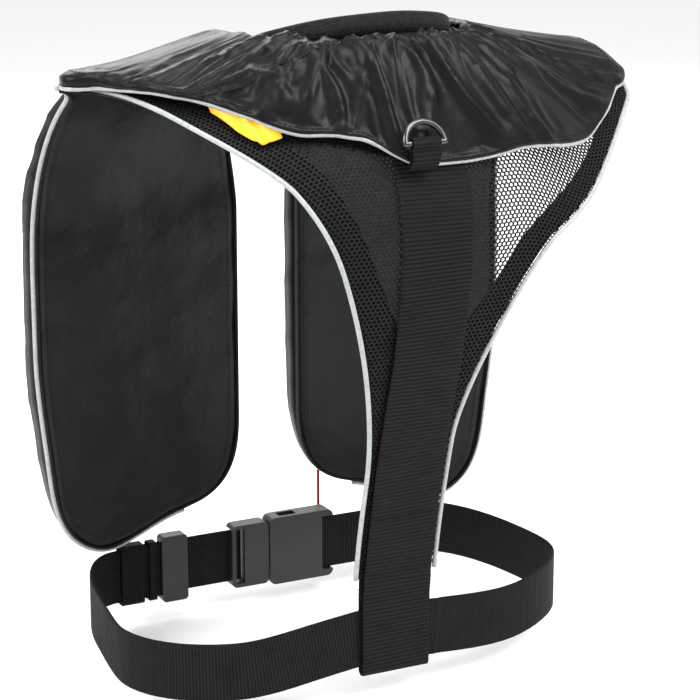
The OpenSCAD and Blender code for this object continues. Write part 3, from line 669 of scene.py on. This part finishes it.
def make_cover(mats):
    """The cover as one simulated cloth, cut into its three panels along the shoulder seams."""
    places = cover_places()
    height = cover_height(places)
    points = lifted(places, height)
    points += normals(places) * (field(points, 30, 3.1) * 0.8)[..., None]
    rise = neck_rise(places)
    points[..., 2] += rise
    rows, cols = points.shape[:2]
    whole = mesh_piece("cover_whole", points.reshape(-1, 3), grid_faces(rows, cols), mats["cover"])
    v = np.linspace(0, 1, cols)[None, :] * np.ones((rows, 1))
    i = np.arange(rows)[:, None] * np.ones((1, cols))
    from_end = np.minimum(i, i[::-1])
    pins = np.maximum(smooth(1 - v / 0.03), smooth((v - 0.97) / 0.03))
    pins = np.maximum(pins, smooth(1 - from_end / 1.5))
    low = lifted(places, np.minimum(height - 1.2, np.maximum(height - 8, 13.4)))
    low[..., 2] += rise
    simulate(whole, pins, low)
    co = np.empty(rows * cols * 3)
    whole.data.vertices.foreach_get("co", co)
    shape = co.reshape(rows, cols, 3) / MM
    bpy.data.objects.remove(whole)
    soft = shape.copy()
    soft[1:-1, 1:-1] = (shape[:-2, 1:-1] + shape[2:, 1:-1] + shape[1:-1, :-2] + shape[1:-1, 2:]) / 4
    shape = shape * 0.5 + soft * 0.5
    cuts = [0, COVER_LOBE_ROWS - 1, rows - COVER_LOBE_ROWS, rows - 1]
    for name, a, b in zip(("cover_left", "cover_yoke", "cover_right"), cuts[:-1], cuts[1:]):
        part = shape[a:b + 1]
        piece = sheet_grid(name + "_cloth", part, mats["cover"], 0.7)
        use(piece, "cover_nylon", name)
    return places, shape


def make_cover_piping(mats, places, shape):
    """Piping along the yoke's whole outer edge, as the simulated cloth has it."""
    rows = len(shape)
    a, b = COVER_LOBE_ROWS - 1, rows - COVER_LOBE_ROWS
    edge = shape[a:b + 1, -1]
    inner = shape[a:b + 1, -2]
    away = edge - inner
    away /= np.linalg.norm(away, axis=1, keepdims=True)
    up = normals(places[a:b + 1, -1])
    make_piping("piping_cover", resample(edge + away * 1.3 + up * 0.2, 300), follow(edge, up, 300), mats)
    row = shape[a:b + 1, -4] + up * 0.9
    stitch_row("cover_stitch", row, up, mats["thread"], "cover_nylon")


def make_shoulder_seam(mats, shape):
    """A welted seam across the cover on the wearer's left, from the collar to the hem."""
    cols = shape.shape[1]
    row = COVER_LOBE_ROWS + np.linspace(66, 34, cols)
    low = np.floor(row).astype(int)
    part = (row - low)[:, None]
    j = np.arange(cols)
    line = shape[low, j] * (1 - part) + shape[low + 1, j] * part
    after = np.minimum(j + 1, cols - 1)
    up = np.cross(shape[low + 1, after] - shape[low, j], shape[low, after] - shape[low + 1, j])
    up[-1] = up[-2]
    up = smooth_line(up / np.linalg.norm(up, axis=1, keepdims=True), 6)
    if (up[:, 2] < 0).mean() > 0.5:
        up = -up
    line, up = resample(line[2:-2], 160), follow(line[2:-2], up[2:-2], 160)
    piece = swept("cover_seam", line + up * 0.55, up, flat_section(5.0, 0.9, 6), mats["cover"])
    use(piece, "cover_nylon")
    side = np.cross(up, np.gradient(line, axis=0))
    side /= np.linalg.norm(side, axis=1, keepdims=True)
    stitch_row("cover_seam_stitch", line + side * 1.7 + up * 1.0, up, mats["thread"], "cover_nylon")


# ---- stitching and piping
PIPING_R = 1.6


def stitch_row(name, line, up, mat, slot, length=2.3, gap=1.1, width=0.55, zigzag=0.0):
    """Separate stitches along a line of points, each a small raised grain of thread."""
    total = np.linalg.norm(np.diff(line, axis=0), axis=1).sum()
    count = max(2, int(total / (length + gap)))
    ends = resample(line, 2 * count + 1)
    normal = follow(line, up, 2 * count + 1)
    points, faces = [], []
    for k in range(count):
        a, b, n = ends[2 * k], ends[2 * k + 1], normal[2 * k]
        n = n / np.linalg.norm(n)
        way = (b - a) / np.linalg.norm(b - a)
        side = np.cross(n, way)
        share = length / (length + gap)
        b = a + way * total / count * share
        if zigzag:
            sign = zigzag if k % 2 else -zigzag
            a, b = a - side * sign, b + side * sign
            way = (b - a) / np.linalg.norm(b - a)
            side = np.cross(n, way)
        base = len(points)
        points += [a, b]
        for f in (0.2, 0.8):
            m = a * (1 - f) + b * f
            points += [m - side * width / 2, m + n * width * 0.55,
                       m + side * width / 2, m - n * width * 0.3]
        for j in range(4):
            p, q = base + 2 + j, base + 2 + (j + 1) % 4
            faces += [(base, q, p), (p, q, q + 4, p + 4), (p + 4, q + 4, base + 1)]
    use(mesh_piece(name, np.array(points), faces, mat), slot)


def beside(places, d):
    """Places moved sideways by d from a line of places (x, t), to the right of its way."""
    way = np.gradient(np.asarray(places, float), axis=0)
    way /= np.linalg.norm(way, axis=1, keepdims=True)
    return places + d * np.stack([way[:, 1], -way[:, 0]], -1)


def smooth_line(points, times):
    points = np.array(points, float)
    for _ in range(times):
        points[1:-1] = (points[:-2] + 2 * points[1:-1] + points[2:]) / 4
    return points


def make_piping(node, mid, up, mats):
    """The reflective cord that stands for a node of piping."""
    piece = swept(node + "_cord", smooth_line(mid, 4), up, round_section(PIPING_R, 14), mats["piping"])
    use(piece, "reflective_piping", node)


# ---- mesh panel
HEX_W, HEX_H = 3.3, 2.6
BORDER = 20


def panel_top(x):
    """The panel's upper edge, along the collar and out to the shoulders."""
    x = np.abs(np.asarray(x, float))
    edge = neck_t(np.array(NECK_OUT)) + 4
    inside = neck_t(np.minimum(x, NECK_OUT)) + 4
    return np.where(x <= NECK_OUT, inside, -8 + (edge + 8) * (1 - smooth((x - NECK_OUT) / 27)))


def honeycomb(name, keep, low, high, mat, hole=0.72):
    """A sheet of open hexagonal cells on the body surface, where keep(x, t) is true."""
    i, j = np.meshgrid(np.arange(-62, 63), np.arange(0, 170))
    cx = (i + 0.5 * (j % 2)) * HEX_W
    ct = j * HEX_H
    inside = keep(cx, ct)
    centre = np.stack([cx[inside], ct[inside]], -1)
    a = np.radians(np.arange(-90, 270, 60))
    corner = np.stack([np.cos(a) / math.sqrt(3), np.sin(a) * 2 / 3], -1) * [HEX_W, HEX_H]
    outer = (centre[:, None] + corner).reshape(-1, 2)
    inner = (centre[:, None] + corner * hole).reshape(-1, 2)
    shared, index = np.unique(np.round(outer, 3), axis=0, return_inverse=True)
    index = index.reshape(-1)
    n_out, n_in = len(shared), len(inner)
    flat = np.concatenate([shared, inner])
    points = np.concatenate([lifted(flat, high), lifted(flat, low)])
    total = n_out + n_in
    o = index.reshape(-1, 6)
    k = n_out + np.arange(n_in).reshape(-1, 6)
    o2, k2 = np.roll(o, -1, 1), np.roll(k, -1, 1)
    top = np.stack([o, o2, k2, k], -1).reshape(-1, 4)
    under = top[:, ::-1] + total
    wall = np.stack([k, k2, k2 + total, k + total], -1).reshape(-1, 4)
    edges = np.stack([o, o2], -1).reshape(-1, 2)
    key = np.sort(edges, 1)
    _, where, times = np.unique(key, axis=0, return_inverse=True, return_counts=True)
    rim = edges[times[where.reshape(-1)] == 1]
    rim = np.stack([rim[:, 1], rim[:, 0], rim[:, 0] + total, rim[:, 1] + total], -1)
    faces = np.concatenate([top, under, wall, rim])
    return mesh_piece(name, points, faces.tolist(), mat, smooth_shade=False)


def between(left, right, high, cols=10):
    """A grid of points between two lines of places, each an array of (x, t)."""
    k = np.linspace(0, 1, cols)[None, :, None]
    return lifted(left[:, None] * (1 - k) + right[:, None] * k, high)


def cut_region(keep):
    """Mean width and length, in metres, of the places where keep(x, t) is true."""
    step = 2.0
    x, t = np.meshgrid(np.arange(-199, 200, step), np.arange(-60, 440, step))
    inside = keep(x, t)
    length = float(np.ptp(t[inside]))
    return (round(float(inside.sum()) * step * step / length * MM, 3), round(length * MM, 3))


def band(name, slot, left, right, high, thick, mat, cols=10):
    """A closed sheet of the mesh panel between two lines of places, one face at height high."""
    top = between(left, right, high, cols)
    piece = mesh_piece(name, top.reshape(-1, 3), grid_faces(len(left), cols), mat)
    add_thickness(piece, thick)
    use(piece, slot, "mesh_panel")


def inner_line(t, hand):
    """Where the panel's dense border ends and its open mesh starts."""
    return np.maximum(0.0, panel_half(t, hand) - BORDER - 6 * smooth((t - 200) / 60))


def make_panel(mats):
    """The open mesh, its dense borders and the lining under the yoke."""
    hidden = 34

    def keep(x, t):
        half = np.where(x < 0, panel_half(t, -1), panel_half(t, 1))
        inside = (np.abs(x) < half - 0.3) & (np.abs(x) < 198)
        return inside & (t > yoke_low(x) - hidden) & (t < PANEL_END - 1)

    halves = {"left": lambda x, t: keep(x, t) & (x >= 0), "right": lambda x, t: keep(x, t) & (x < 0)}
    for side_name, chosen in halves.items():
        piece = honeycomb("mesh_" + side_name, chosen, 2.9, 3.7, mats["mesh"])
        use(piece, "spacer_mesh", "mesh_panel")
        cut_region(chosen)
    for side_name, sign in SIDES:
        t = np.linspace(20 if sign > 0 else 50, PANEL_END - 1, 130)
        out = np.stack([sign * (panel_half(t, sign) - 0.4), t], -1)
        inn = np.stack([sign * inner_line(t, sign), t], -1)
        first, second = (inn, out) if sign < 0 else (out, inn)
        band("mesh_border_" + side_name, "spacer_mesh", first, second, 2.7, 0.8, mats["backing"])
        mid = beside(np.stack([inner_line(t, sign), t], -1), -1.0)[t < 262] * [sign, 1]
        stitch_row("mesh_stitch_" + side_name, lifted(mid, 3.8), normals(mid), mats["thread"],
                   "spacer_mesh")
    x = np.linspace(-186, 186, 63)
    top = np.stack([x, panel_top(x)], -1)
    low = np.stack([x, np.maximum(yoke_low(x) - 8, 138 - 0.28 * x)], -1)
    low[x < 0, 1] = yoke_low(x[x < 0]) - 8
    low[:, 1] = np.maximum(low[:, 1], top[:, 1] + 6)
    low[:, 0] = np.clip(low[:, 0], 1 - panel_half(low[:, 1], -1), panel_half(low[:, 1], 1) - 1)
    band("yoke_lining", "lining_nylon", low[::-1], top[::-1], 2.6, 0.7, mats["lining"],
         cols=26)


def make_panel_piping(mats):
    t = np.linspace(-2, PANEL_END - 1, 150)
    for side_name, sign in SIDES:
        line = beside(np.stack([panel_half(t, sign), t], -1), 1.4) * [sign, 1]
        make_piping("piping_panel_" + side_name, lifted(line, 3.4), normals(line), mats)


# ---- lobes: lining, edge binding, tape
def lobe_edge(inner=True):
    """The lobe's outline as places, from the shoulder down its outer edge and across its end, and
    up its inner edge too where that is asked for."""
    s = np.linspace(-SEAM_T, LOBE_LEN - 0.5, 120)
    s = np.r_[s[:-14], resample(np.stack([s[-14:], s[-14:] * 0], -1), 30)[:, 0]]
    out = np.stack([lobe_x(s, 1.0), -s], -1)
    if not inner:
        k = np.linspace(1, 0, 14)[1:]
        end = np.stack([lobe_x(LOBE_LEN - 0.5, k), np.full(len(k), -LOBE_LEN)], -1)
        return resample(np.r_[out, end], 170)
    back = np.stack([lobe_x(s, 0.0), -s], -1)[::-1]
    return resample(np.r_[out, back], 320)


def lobe_sheet(name, node, slot, mat, thick, sign, s, c, d):
    """A sheet on a lobe's grid of places."""
    points = skin(lobe_x(s, c) * sign, -s, d)
    if sign > 0:
        points = points[:, ::-1]
    piece = sheet_grid(name, points, mat, thick)
    use(piece, slot, node)


def make_lobes(mats):
    """For each lobe its lining, edge binding, piping, stitching and closure tape."""
    for side_name, sign in SIDES:
        down, across = np.linspace(-SEAM_T, LOBE_LEN, 90), np.linspace(0.005, 0.995, 34)
        s, c = np.meshgrid(down, across, indexing="ij")
        flat = on_body(lobe_x(s, c), -s)
        soft = field(flat, 34, 5 + sign) * 0.8 + field(flat, 12, 9 + sign) * 0.25
        lobe_sheet("lining_%s_cloth" % side_name, "lining_" + side_name, "lining_nylon",
                   mats["lining"], 0.6, sign, s, c, 2.9 + np.clip(soft, -0.8, 0.8))
        edge = beside(lobe_edge(), -0.5) * [sign, 1]
        rim = flat_section(6.0, 1.7, 6)[:, ::-1]
        piece = swept("lobe_binding_" + side_name, lifted(edge, 4.5), normals(edge), rim,
                      mats["binding"])
        use(piece, "binding")
        line = beside(lobe_edge(inner=False), -2.4) * [sign, 1]
        make_piping("piping_lobe_" + side_name, lifted(line, 4.9), normals(line), mats)
        row = beside(lobe_edge(), 6.5)[8:-8] * [sign, 1]
        stitch_row("lining_stitch_" + side_name, lifted(row, 1.7), -normals(row), mats["thread"],
                   "lining_nylon")
        s, c = np.meshgrid(np.linspace(60, 330, 60), np.linspace(0.9, 0.985, 6), indexing="ij")
        lobe_sheet("tape_" + side_name, "closure_tape_" + side_name, "hook_tape", mats["tape"], 0.8,
                   sign, s, c, 4.7 + 0.2 * np.sin(s / 9))


# ---- bladder
def ribbon_places(rows_lobe=90, rows_turn=70, cols=29):
    """The bladder's places from the left lobe round behind the neck to the right lobe."""
    k = np.linspace(0, 1, cols)[None, :]
    s = np.linspace(LOBE_LEN - 35, -SEAM_T, rows_lobe)[:, None]
    left = np.stack(np.broadcast_arrays(lobe_x(s, 0.14) * (1 - k) + lobe_x(s, 0.86) * k, -s), -1)
    a = np.linspace(0, math.pi, rows_turn + 2)[1:-1]
    x = 78 * np.cos(a)
    inner = np.stack([x, neck_t(x, 78.0)], -1)
    out_x = 180 * np.cos(a)
    outer = np.stack([out_x, np.minimum(6 + 118 * np.sin(a), yoke_low(out_x) - 14)], -1)
    w = (0.14 + 0.72 * k)[..., None]
    turn = inner[:, None] * (1 - w) + outer[:, None] * w
    return np.concatenate([left, turn, left[::-1] * [-1, 1]])


def make_bladder(mats):
    """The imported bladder, pleated lengthways, as one closed ribbon."""
    places = ribbon_places()
    rows, cols = places.shape[:2]
    v = np.linspace(0, 1, cols)[None, :]
    flat = on_body(places[..., 0], places[..., 1])
    pleat = (v * 4 % 1) ** 0.8
    edge = np.sqrt(np.clip(1 - (2 * v - 1) ** 8, 0, 1))
    top = 10.4 + edge * (0.5 + 1.7 * pleat) + field(flat, 16, 2.2) * 0.45
    low = 9.6 - 0.8 * edge + 0 * top
    points = np.concatenate([lifted(places, top).reshape(-1, 3), lifted(places, low).reshape(-1, 3)])
    n = rows * cols
    faces = [(d, c, b, a) for a, b, c, d in grid_faces(rows, cols)]
    faces += [(a + n, b + n, c + n, d + n) for a, b, c, d in grid_faces(rows, cols)]
    index = np.arange(n).reshape(rows, cols)
    ring = np.r_[index[0], index[1:, -1], index[-1, -2::-1], index[-2:0:-1, 0]].tolist()
    faces += [(p, q, q + n, p + n) for p, q in zip(ring, ring[1:] + ring[:1])]
    piece = mesh_piece("bladder_pack", points, faces, mats["bladder"])
    use(piece, "bladder_fabric", "bladder")


def make_bladder_corner(mats):
    """A folded corner of the bladder that shows below the hem on the wearer's left."""
    u, v = np.meshgrid(np.linspace(0, 1, 34), np.linspace(0, 1, 26), indexing="ij")
    x = 117 - 31 * u
    hem = yoke_low(x) + hem_wave(x)
    deep = np.interp(u, [0, 0.28, 0.48, 0.62, 1], [3, 15, 17, 17, 4])
    t = hem - 14 + (14 + deep) * v
    fold = 1.6 * np.exp(-(((u - 0.46 - 0.1 * v) / 0.05) ** 2))
    fold += 1.1 * np.exp(-(((u - 0.75) / 0.04) ** 2))
    d = 11.5 - 4.6 * v ** 2 + fold * (0.4 + 0.6 * v) + 0.5 * np.sin(u * 9)
    points = skin(x, t, d)[:, ::-1]
    piece = sheet_grid("bladder_corner", points, mats["bladder"], 1.0)
    use(piece, "bladder_fabric", "bladder")


# ---- collar
COLLAR_TILT, COLLAR_SPAN = 18, 120


def around_neck(r, z, a):
    """A place at that radius, height and angle on the collar; angle 0 is straight behind."""
    tilt = math.radians(COLLAR_TILT)
    x, y = -r * np.sin(a), r * np.cos(a)
    back = NECK_Y + y * math.cos(tilt) - z * math.sin(tilt)
    return np.stack(np.broadcast_arrays(x, back, y * math.sin(tilt) + z * math.cos(tilt)), -1)


def make_collar(mats):
    """The padded neoprene band, its bound top edge and the stitching of the binding."""
    span = math.radians(COLLAR_SPAN)
    a = np.linspace(-span, span, 150)
    height = 22.5 - 5 * smooth((np.abs(a) - 1.5) / 0.6)
    profile = np.linspace(0, 1, 30)
    side_a, side_z = np.meshgrid(a, profile, indexing="ij")
    z = -22.5 + side_z * (height[:, None] + 19.5)
    wave = 0.5 * np.sin(side_a * 9 + 1) * (0.3 + 0.7 * side_z)
    crown = 0.9 * np.sin(math.pi * side_z)
    outer = around_neck(69.6 + crown + wave, z, side_a)
    inner = around_neck(66.5 - crown * 0.5 + wave, z, side_a)
    rows, cols = outer.shape[:2]
    loop = np.concatenate([outer, inner[:, ::-1]], 1)
    faces = grid_faces(rows, 2 * cols, closed=True)
    faces += [tuple(reversed(range(2 * cols))), tuple(range((rows - 1) * 2 * cols, rows * 2 * cols))]
    piece = mesh_piece("collar_band", loop.reshape(-1, 3), faces, mats["neoprene"])
    use(piece, "neoprene", "collar")
    wave = 0.5 * np.sin(a * 9 + 1)
    mid = around_neck(68.0 + wave, height - 6.5, a)
    up = around_neck(68.0, height + 10, a) - around_neck(68.0, height, a)
    arc = np.linspace(0, math.pi, 9)
    half, deep = 3.1, 7.0
    outside = np.stack([-half * np.cos(arc), 4.6 + half * 0.8 * np.sin(arc)], -1)
    section = np.r_[[(-half, -deep), (-half - 0.1, 0)], outside, [(half + 0.1, 0), (half, -deep)],
                    [(half - 1, -deep), (half - 1, 3.6), (1 - half, 3.6), (1 - half, -deep)]]
    piece = swept("collar_edge", mid, up, section, mats["binding"])
    use(piece, "binding", "collar_binding")
    away = around_neck(80.0, height, a) - around_neck(70.0, height, a)
    for name, r, out in (("outer", 71.6, away), ("inner", 64.7, -away)):
        line = around_neck(r + wave, height - 10.8, a)
        stitch_row("collar_stitch_" + name, line, out, mats["thread"], "binding")


# ---- webbing
STRAP_TOP, STRAP_END, STRAP_D, LOOP_R = 118, 440, 6.3, 2.9
LOOP_Y = float(skin(0.0, STRAP_END, STRAP_D)[1]) - LOOP_R
BELT_RISE = 7
TAB_X, BAR_Y, BAR_Z = 10.0, 121.0, -29.0


def strap_points():
    """The strap's line, down the back, round under the belt and up inside it."""
    t = np.linspace(STRAP_TOP, STRAP_END, 90)
    down = skin(np.zeros(90), t, STRAP_D + 1.1 * smooth((t - 426) / 4))[:, 1:]
    turn = np.radians(np.arange(0, -181, -15))
    low = BELT_Z + BELT_RISE - BELT_W / 2 - 4
    loop = np.stack([LOOP_Y + LOOP_R * np.cos(turn), low + LOOP_R * np.sin(turn)], -1)
    line = np.r_[down, [[LOOP_Y + 3.9, -362], [LOOP_Y + 3.6, -380]], loop]
    line = np.r_[line, [[LOOP_Y - LOOP_R, -340], [LOOP_Y - LOOP_R, -322]]]
    return np.c_[np.zeros(len(line)), line]


def side_up(line):
    """Normals of a line that lies in a plane of constant x."""
    way = np.gradient(line, axis=0)
    return np.stack([np.zeros(len(line)), way[:, 2], -way[:, 1]], -1)


def ribbed(name, line, up, width, thick, pitch, mat, height=0.16):
    """Webbing swept along a line, with its ribs as real steps in thickness."""
    total = np.linalg.norm(np.diff(line, axis=0), axis=1).sum()
    count = int(total / pitch * 4)
    line, up = resample(line, count), follow(line, up, count)
    up /= np.linalg.norm(up, axis=1, keepdims=True)
    k = np.arange(count)
    rib = height * np.cos(k * math.pi / 2) + height * 0.3 * np.sin(k * 0.37)
    return swept(name, line, up, flat_section(width, thick, 12), mat, swell=rib)


def make_strap(mats):
    line = strap_points()
    up = -side_up(line)
    line[:, 0] += 0.5 * np.sin(line[:, 2] / 21)
    piece = ribbed("back_strap_webbing", line, up, STRAP_W, 1.6, 2.8, mats["strap"])
    use(piece, "webbing", "back_strap")
    for k, (t, tall) in enumerate(((381.0, 3.4), (423.0, 3.0))):
        places = np.tile([0.0, t], (40, 1))
        row = lifted(places, 7.4)
        row[:, 0] = np.linspace(-STRAP_W / 2 + 2, STRAP_W / 2 - 2, 40)
        stitch_row("strap_zigzag_%d" % (k + 1), row, normals(places), mats["thread"], "webbing",
                   length=1.6, gap=0.05, zigzag=tall / 2)


def belt_line():
    """The belt's line from above, open at the buckle."""
    half, front, flat = 165.9, -132.9, 120.0
    deep = LOOP_Y - BODY_Y
    corner = half - flat
    a = np.linspace(-math.pi / 2, 0, 24)
    left = np.stack([flat + corner * np.cos(a), BODY_Y + (BODY_Y - front) * np.sin(a)], -1)
    a = np.linspace(0, math.pi, 130)[1:-1]
    back = np.stack([half * np.sign(np.cos(a)) * np.abs(np.cos(a)) ** (2 / 2.3),
                     BODY_Y + deep * np.sin(a) ** (2 / 2.3)], -1)
    line = np.r_[[[70, front]], left, back, left[::-1] * [-1, 1], [[-44, front]]]
    line = resample(line, 420)
    return np.c_[smooth_line(line, 6), np.full(420, float(BELT_Z))]


def make_belt(mats):
    """The belt, higher at the strap and lower at the sides than its CAD node, and its free tail."""
    line = belt_line()
    way = np.gradient(line, axis=0)
    up = np.stack([way[:, 1], -way[:, 0], np.zeros(len(line))], -1)
    up /= np.linalg.norm(up, axis=1, keepdims=True)
    free = smooth((line[:, 1] + 60) / 50)
    far = np.abs(line[:, 0]) > 34
    line += up * (0.9 * np.sin(line[:, 0] / 17 + 1) * free * far)[:, None]
    drop = 14 * smooth(line[:, 0] / 110) + 7 * smooth(-line[:, 0] / 110)
    line[:, 2] += (BELT_RISE - drop + 1.2 * np.sin(line[:, 0] / 31)) * free
    piece = ribbed("waist_belt_webbing", line, up, BELT_W, 1.6, 2.2, mats["belt"], 0.13)
    use(piece, "webbing", "waist_belt")
    tail = np.array([(21, -137.3), (40, -137.4), (70, -137.2), (99, -137.3)])
    tail = resample(np.c_[tail, np.full(4, float(BELT_Z))], 60)
    up = np.tile([0.0, -1.0, 0.0], (60, 1))
    piece = ribbed("belt_tail_webbing", tail, up, BELT_W, 1.5, 2.2, mats["belt"], 0.13)
    use(piece, "webbing", "belt_tail", body="buckle_end")


def loop_band(name, x, width, y0, y1, half, mat, node):
    """A flat band sewn into a loop round the belt, from y0 to y1 and half its height each way."""
    r, thick = 1.6, 1.0
    z0, z1 = BELT_Z - half, BELT_Z + half
    turn = np.linspace(0, math.pi / 2, 7)
    parts = []
    for cy, cz, start in ((y1, z1, 0), (y0, z1, 1), (y0, z0, 2), (y1, z0, 3)):
        a = turn + start * math.pi / 2
        inset_y = -r if start in (0, 3) else r
        inset_z = -r if start in (0, 1) else r
        parts.append(np.stack([cy + inset_y + r * np.cos(a), cz + inset_z + r * np.sin(a)], -1))
    ring = np.concatenate(parts)
    centre = ring.mean(0)
    ring = resample(np.r_[ring, ring[:1]], 121)[:-1]
    mid = np.c_[np.full(120, float(x)), ring]
    way = np.roll(mid, -1, 0) - np.roll(mid, 1, 0)
    up = np.stack([np.zeros(120), way[:, 2], -way[:, 1]], -1)
    up *= np.sign((up[:, 1:] * (ring - centre)).sum(1).mean())
    piece = swept(name, np.r_[mid, mid[:1]], np.r_[up, up[:1]], flat_section(width, thick, 6), mat)
    use(piece, "webbing", node)


def make_loops(mats):
    for side_name, sign in SIDES:
        loop_band("tunnel_" + side_name, sign * 109, 17.6, -140.0, -130.0, 22, mats["belt"],
                  "belt_tunnel_" + side_name)
    loop_band("keeper_band", 93, 6, -139.6, -130.8, 21.8, mats["belt"], "belt_keeper")


def make_tab(mats):
    """The tab's webbing, up from the hem, round the ring's bar and down again."""
    turn = np.radians(np.linspace(-70, 250, 22))
    round_bar = np.stack([BAR_Y + 3.1 * np.cos(turn), BAR_Z + 3.1 * np.sin(turn)], -1)
    outside = [(118.4, -45.5), (121.0, -43.0), (123.2, -39.0), (123.8, -34.5)]
    inside = [(119.4, -35.0), (119.5, -38.5), (118.6, -41.5), (116.8, -44.5)]
    line = np.r_[outside, round_bar, inside]
    line = np.c_[np.full(120, TAB_X), smooth_line(resample(line, 120), 2)]
    piece = ribbed("ring_tab_webbing", line, side_up(line), 19.5, 1.0, 1.9, mats["strap"], 0.09)
    use(piece, "webbing", "ring_tab")


def make_lanyard(mats):
    """Three strands twisted round each other, from the lever down to the toggle."""
    low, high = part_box("pull_lanyard")
    x, y = (low.x + high.x) / 2 / MM, (low.y + high.y) / 2 / MM
    z = np.linspace(low.z / MM + 0.3, high.z / MM - 0.3, 260)
    for k in range(3):
        a = z * 2 * math.pi / 7 + k * 2 * math.pi / 3
        mid = np.stack([x + 0.56 * np.cos(a), y + 0.56 * np.sin(a), z], -1)
        up = np.stack([np.cos(a), np.sin(a), 0 * z], -1)
        piece = swept("lanyard_strand_%d" % (k + 1), mid, up, round_section(0.6, 8), mats["lanyard"])
        use(piece, "lanyard", "pull_lanyard", body="toggle")


# ---- everything
make_camera()
make_stage()
mats = make_materials()
finish_nodes(mats)
make_bladder(mats)
make_bladder_corner(mats)
cover_at, cover_shape = make_cover(mats)
make_cover_piping(mats, cover_at, cover_shape)
make_shoulder_seam(mats, cover_shape)
make_panel(mats)
make_panel_piping(mats)
make_lobes(mats)
make_collar(mats)
make_strap(mats)
make_belt(mats)
make_loops(mats)
make_tab(mats)
make_lanyard(mats)
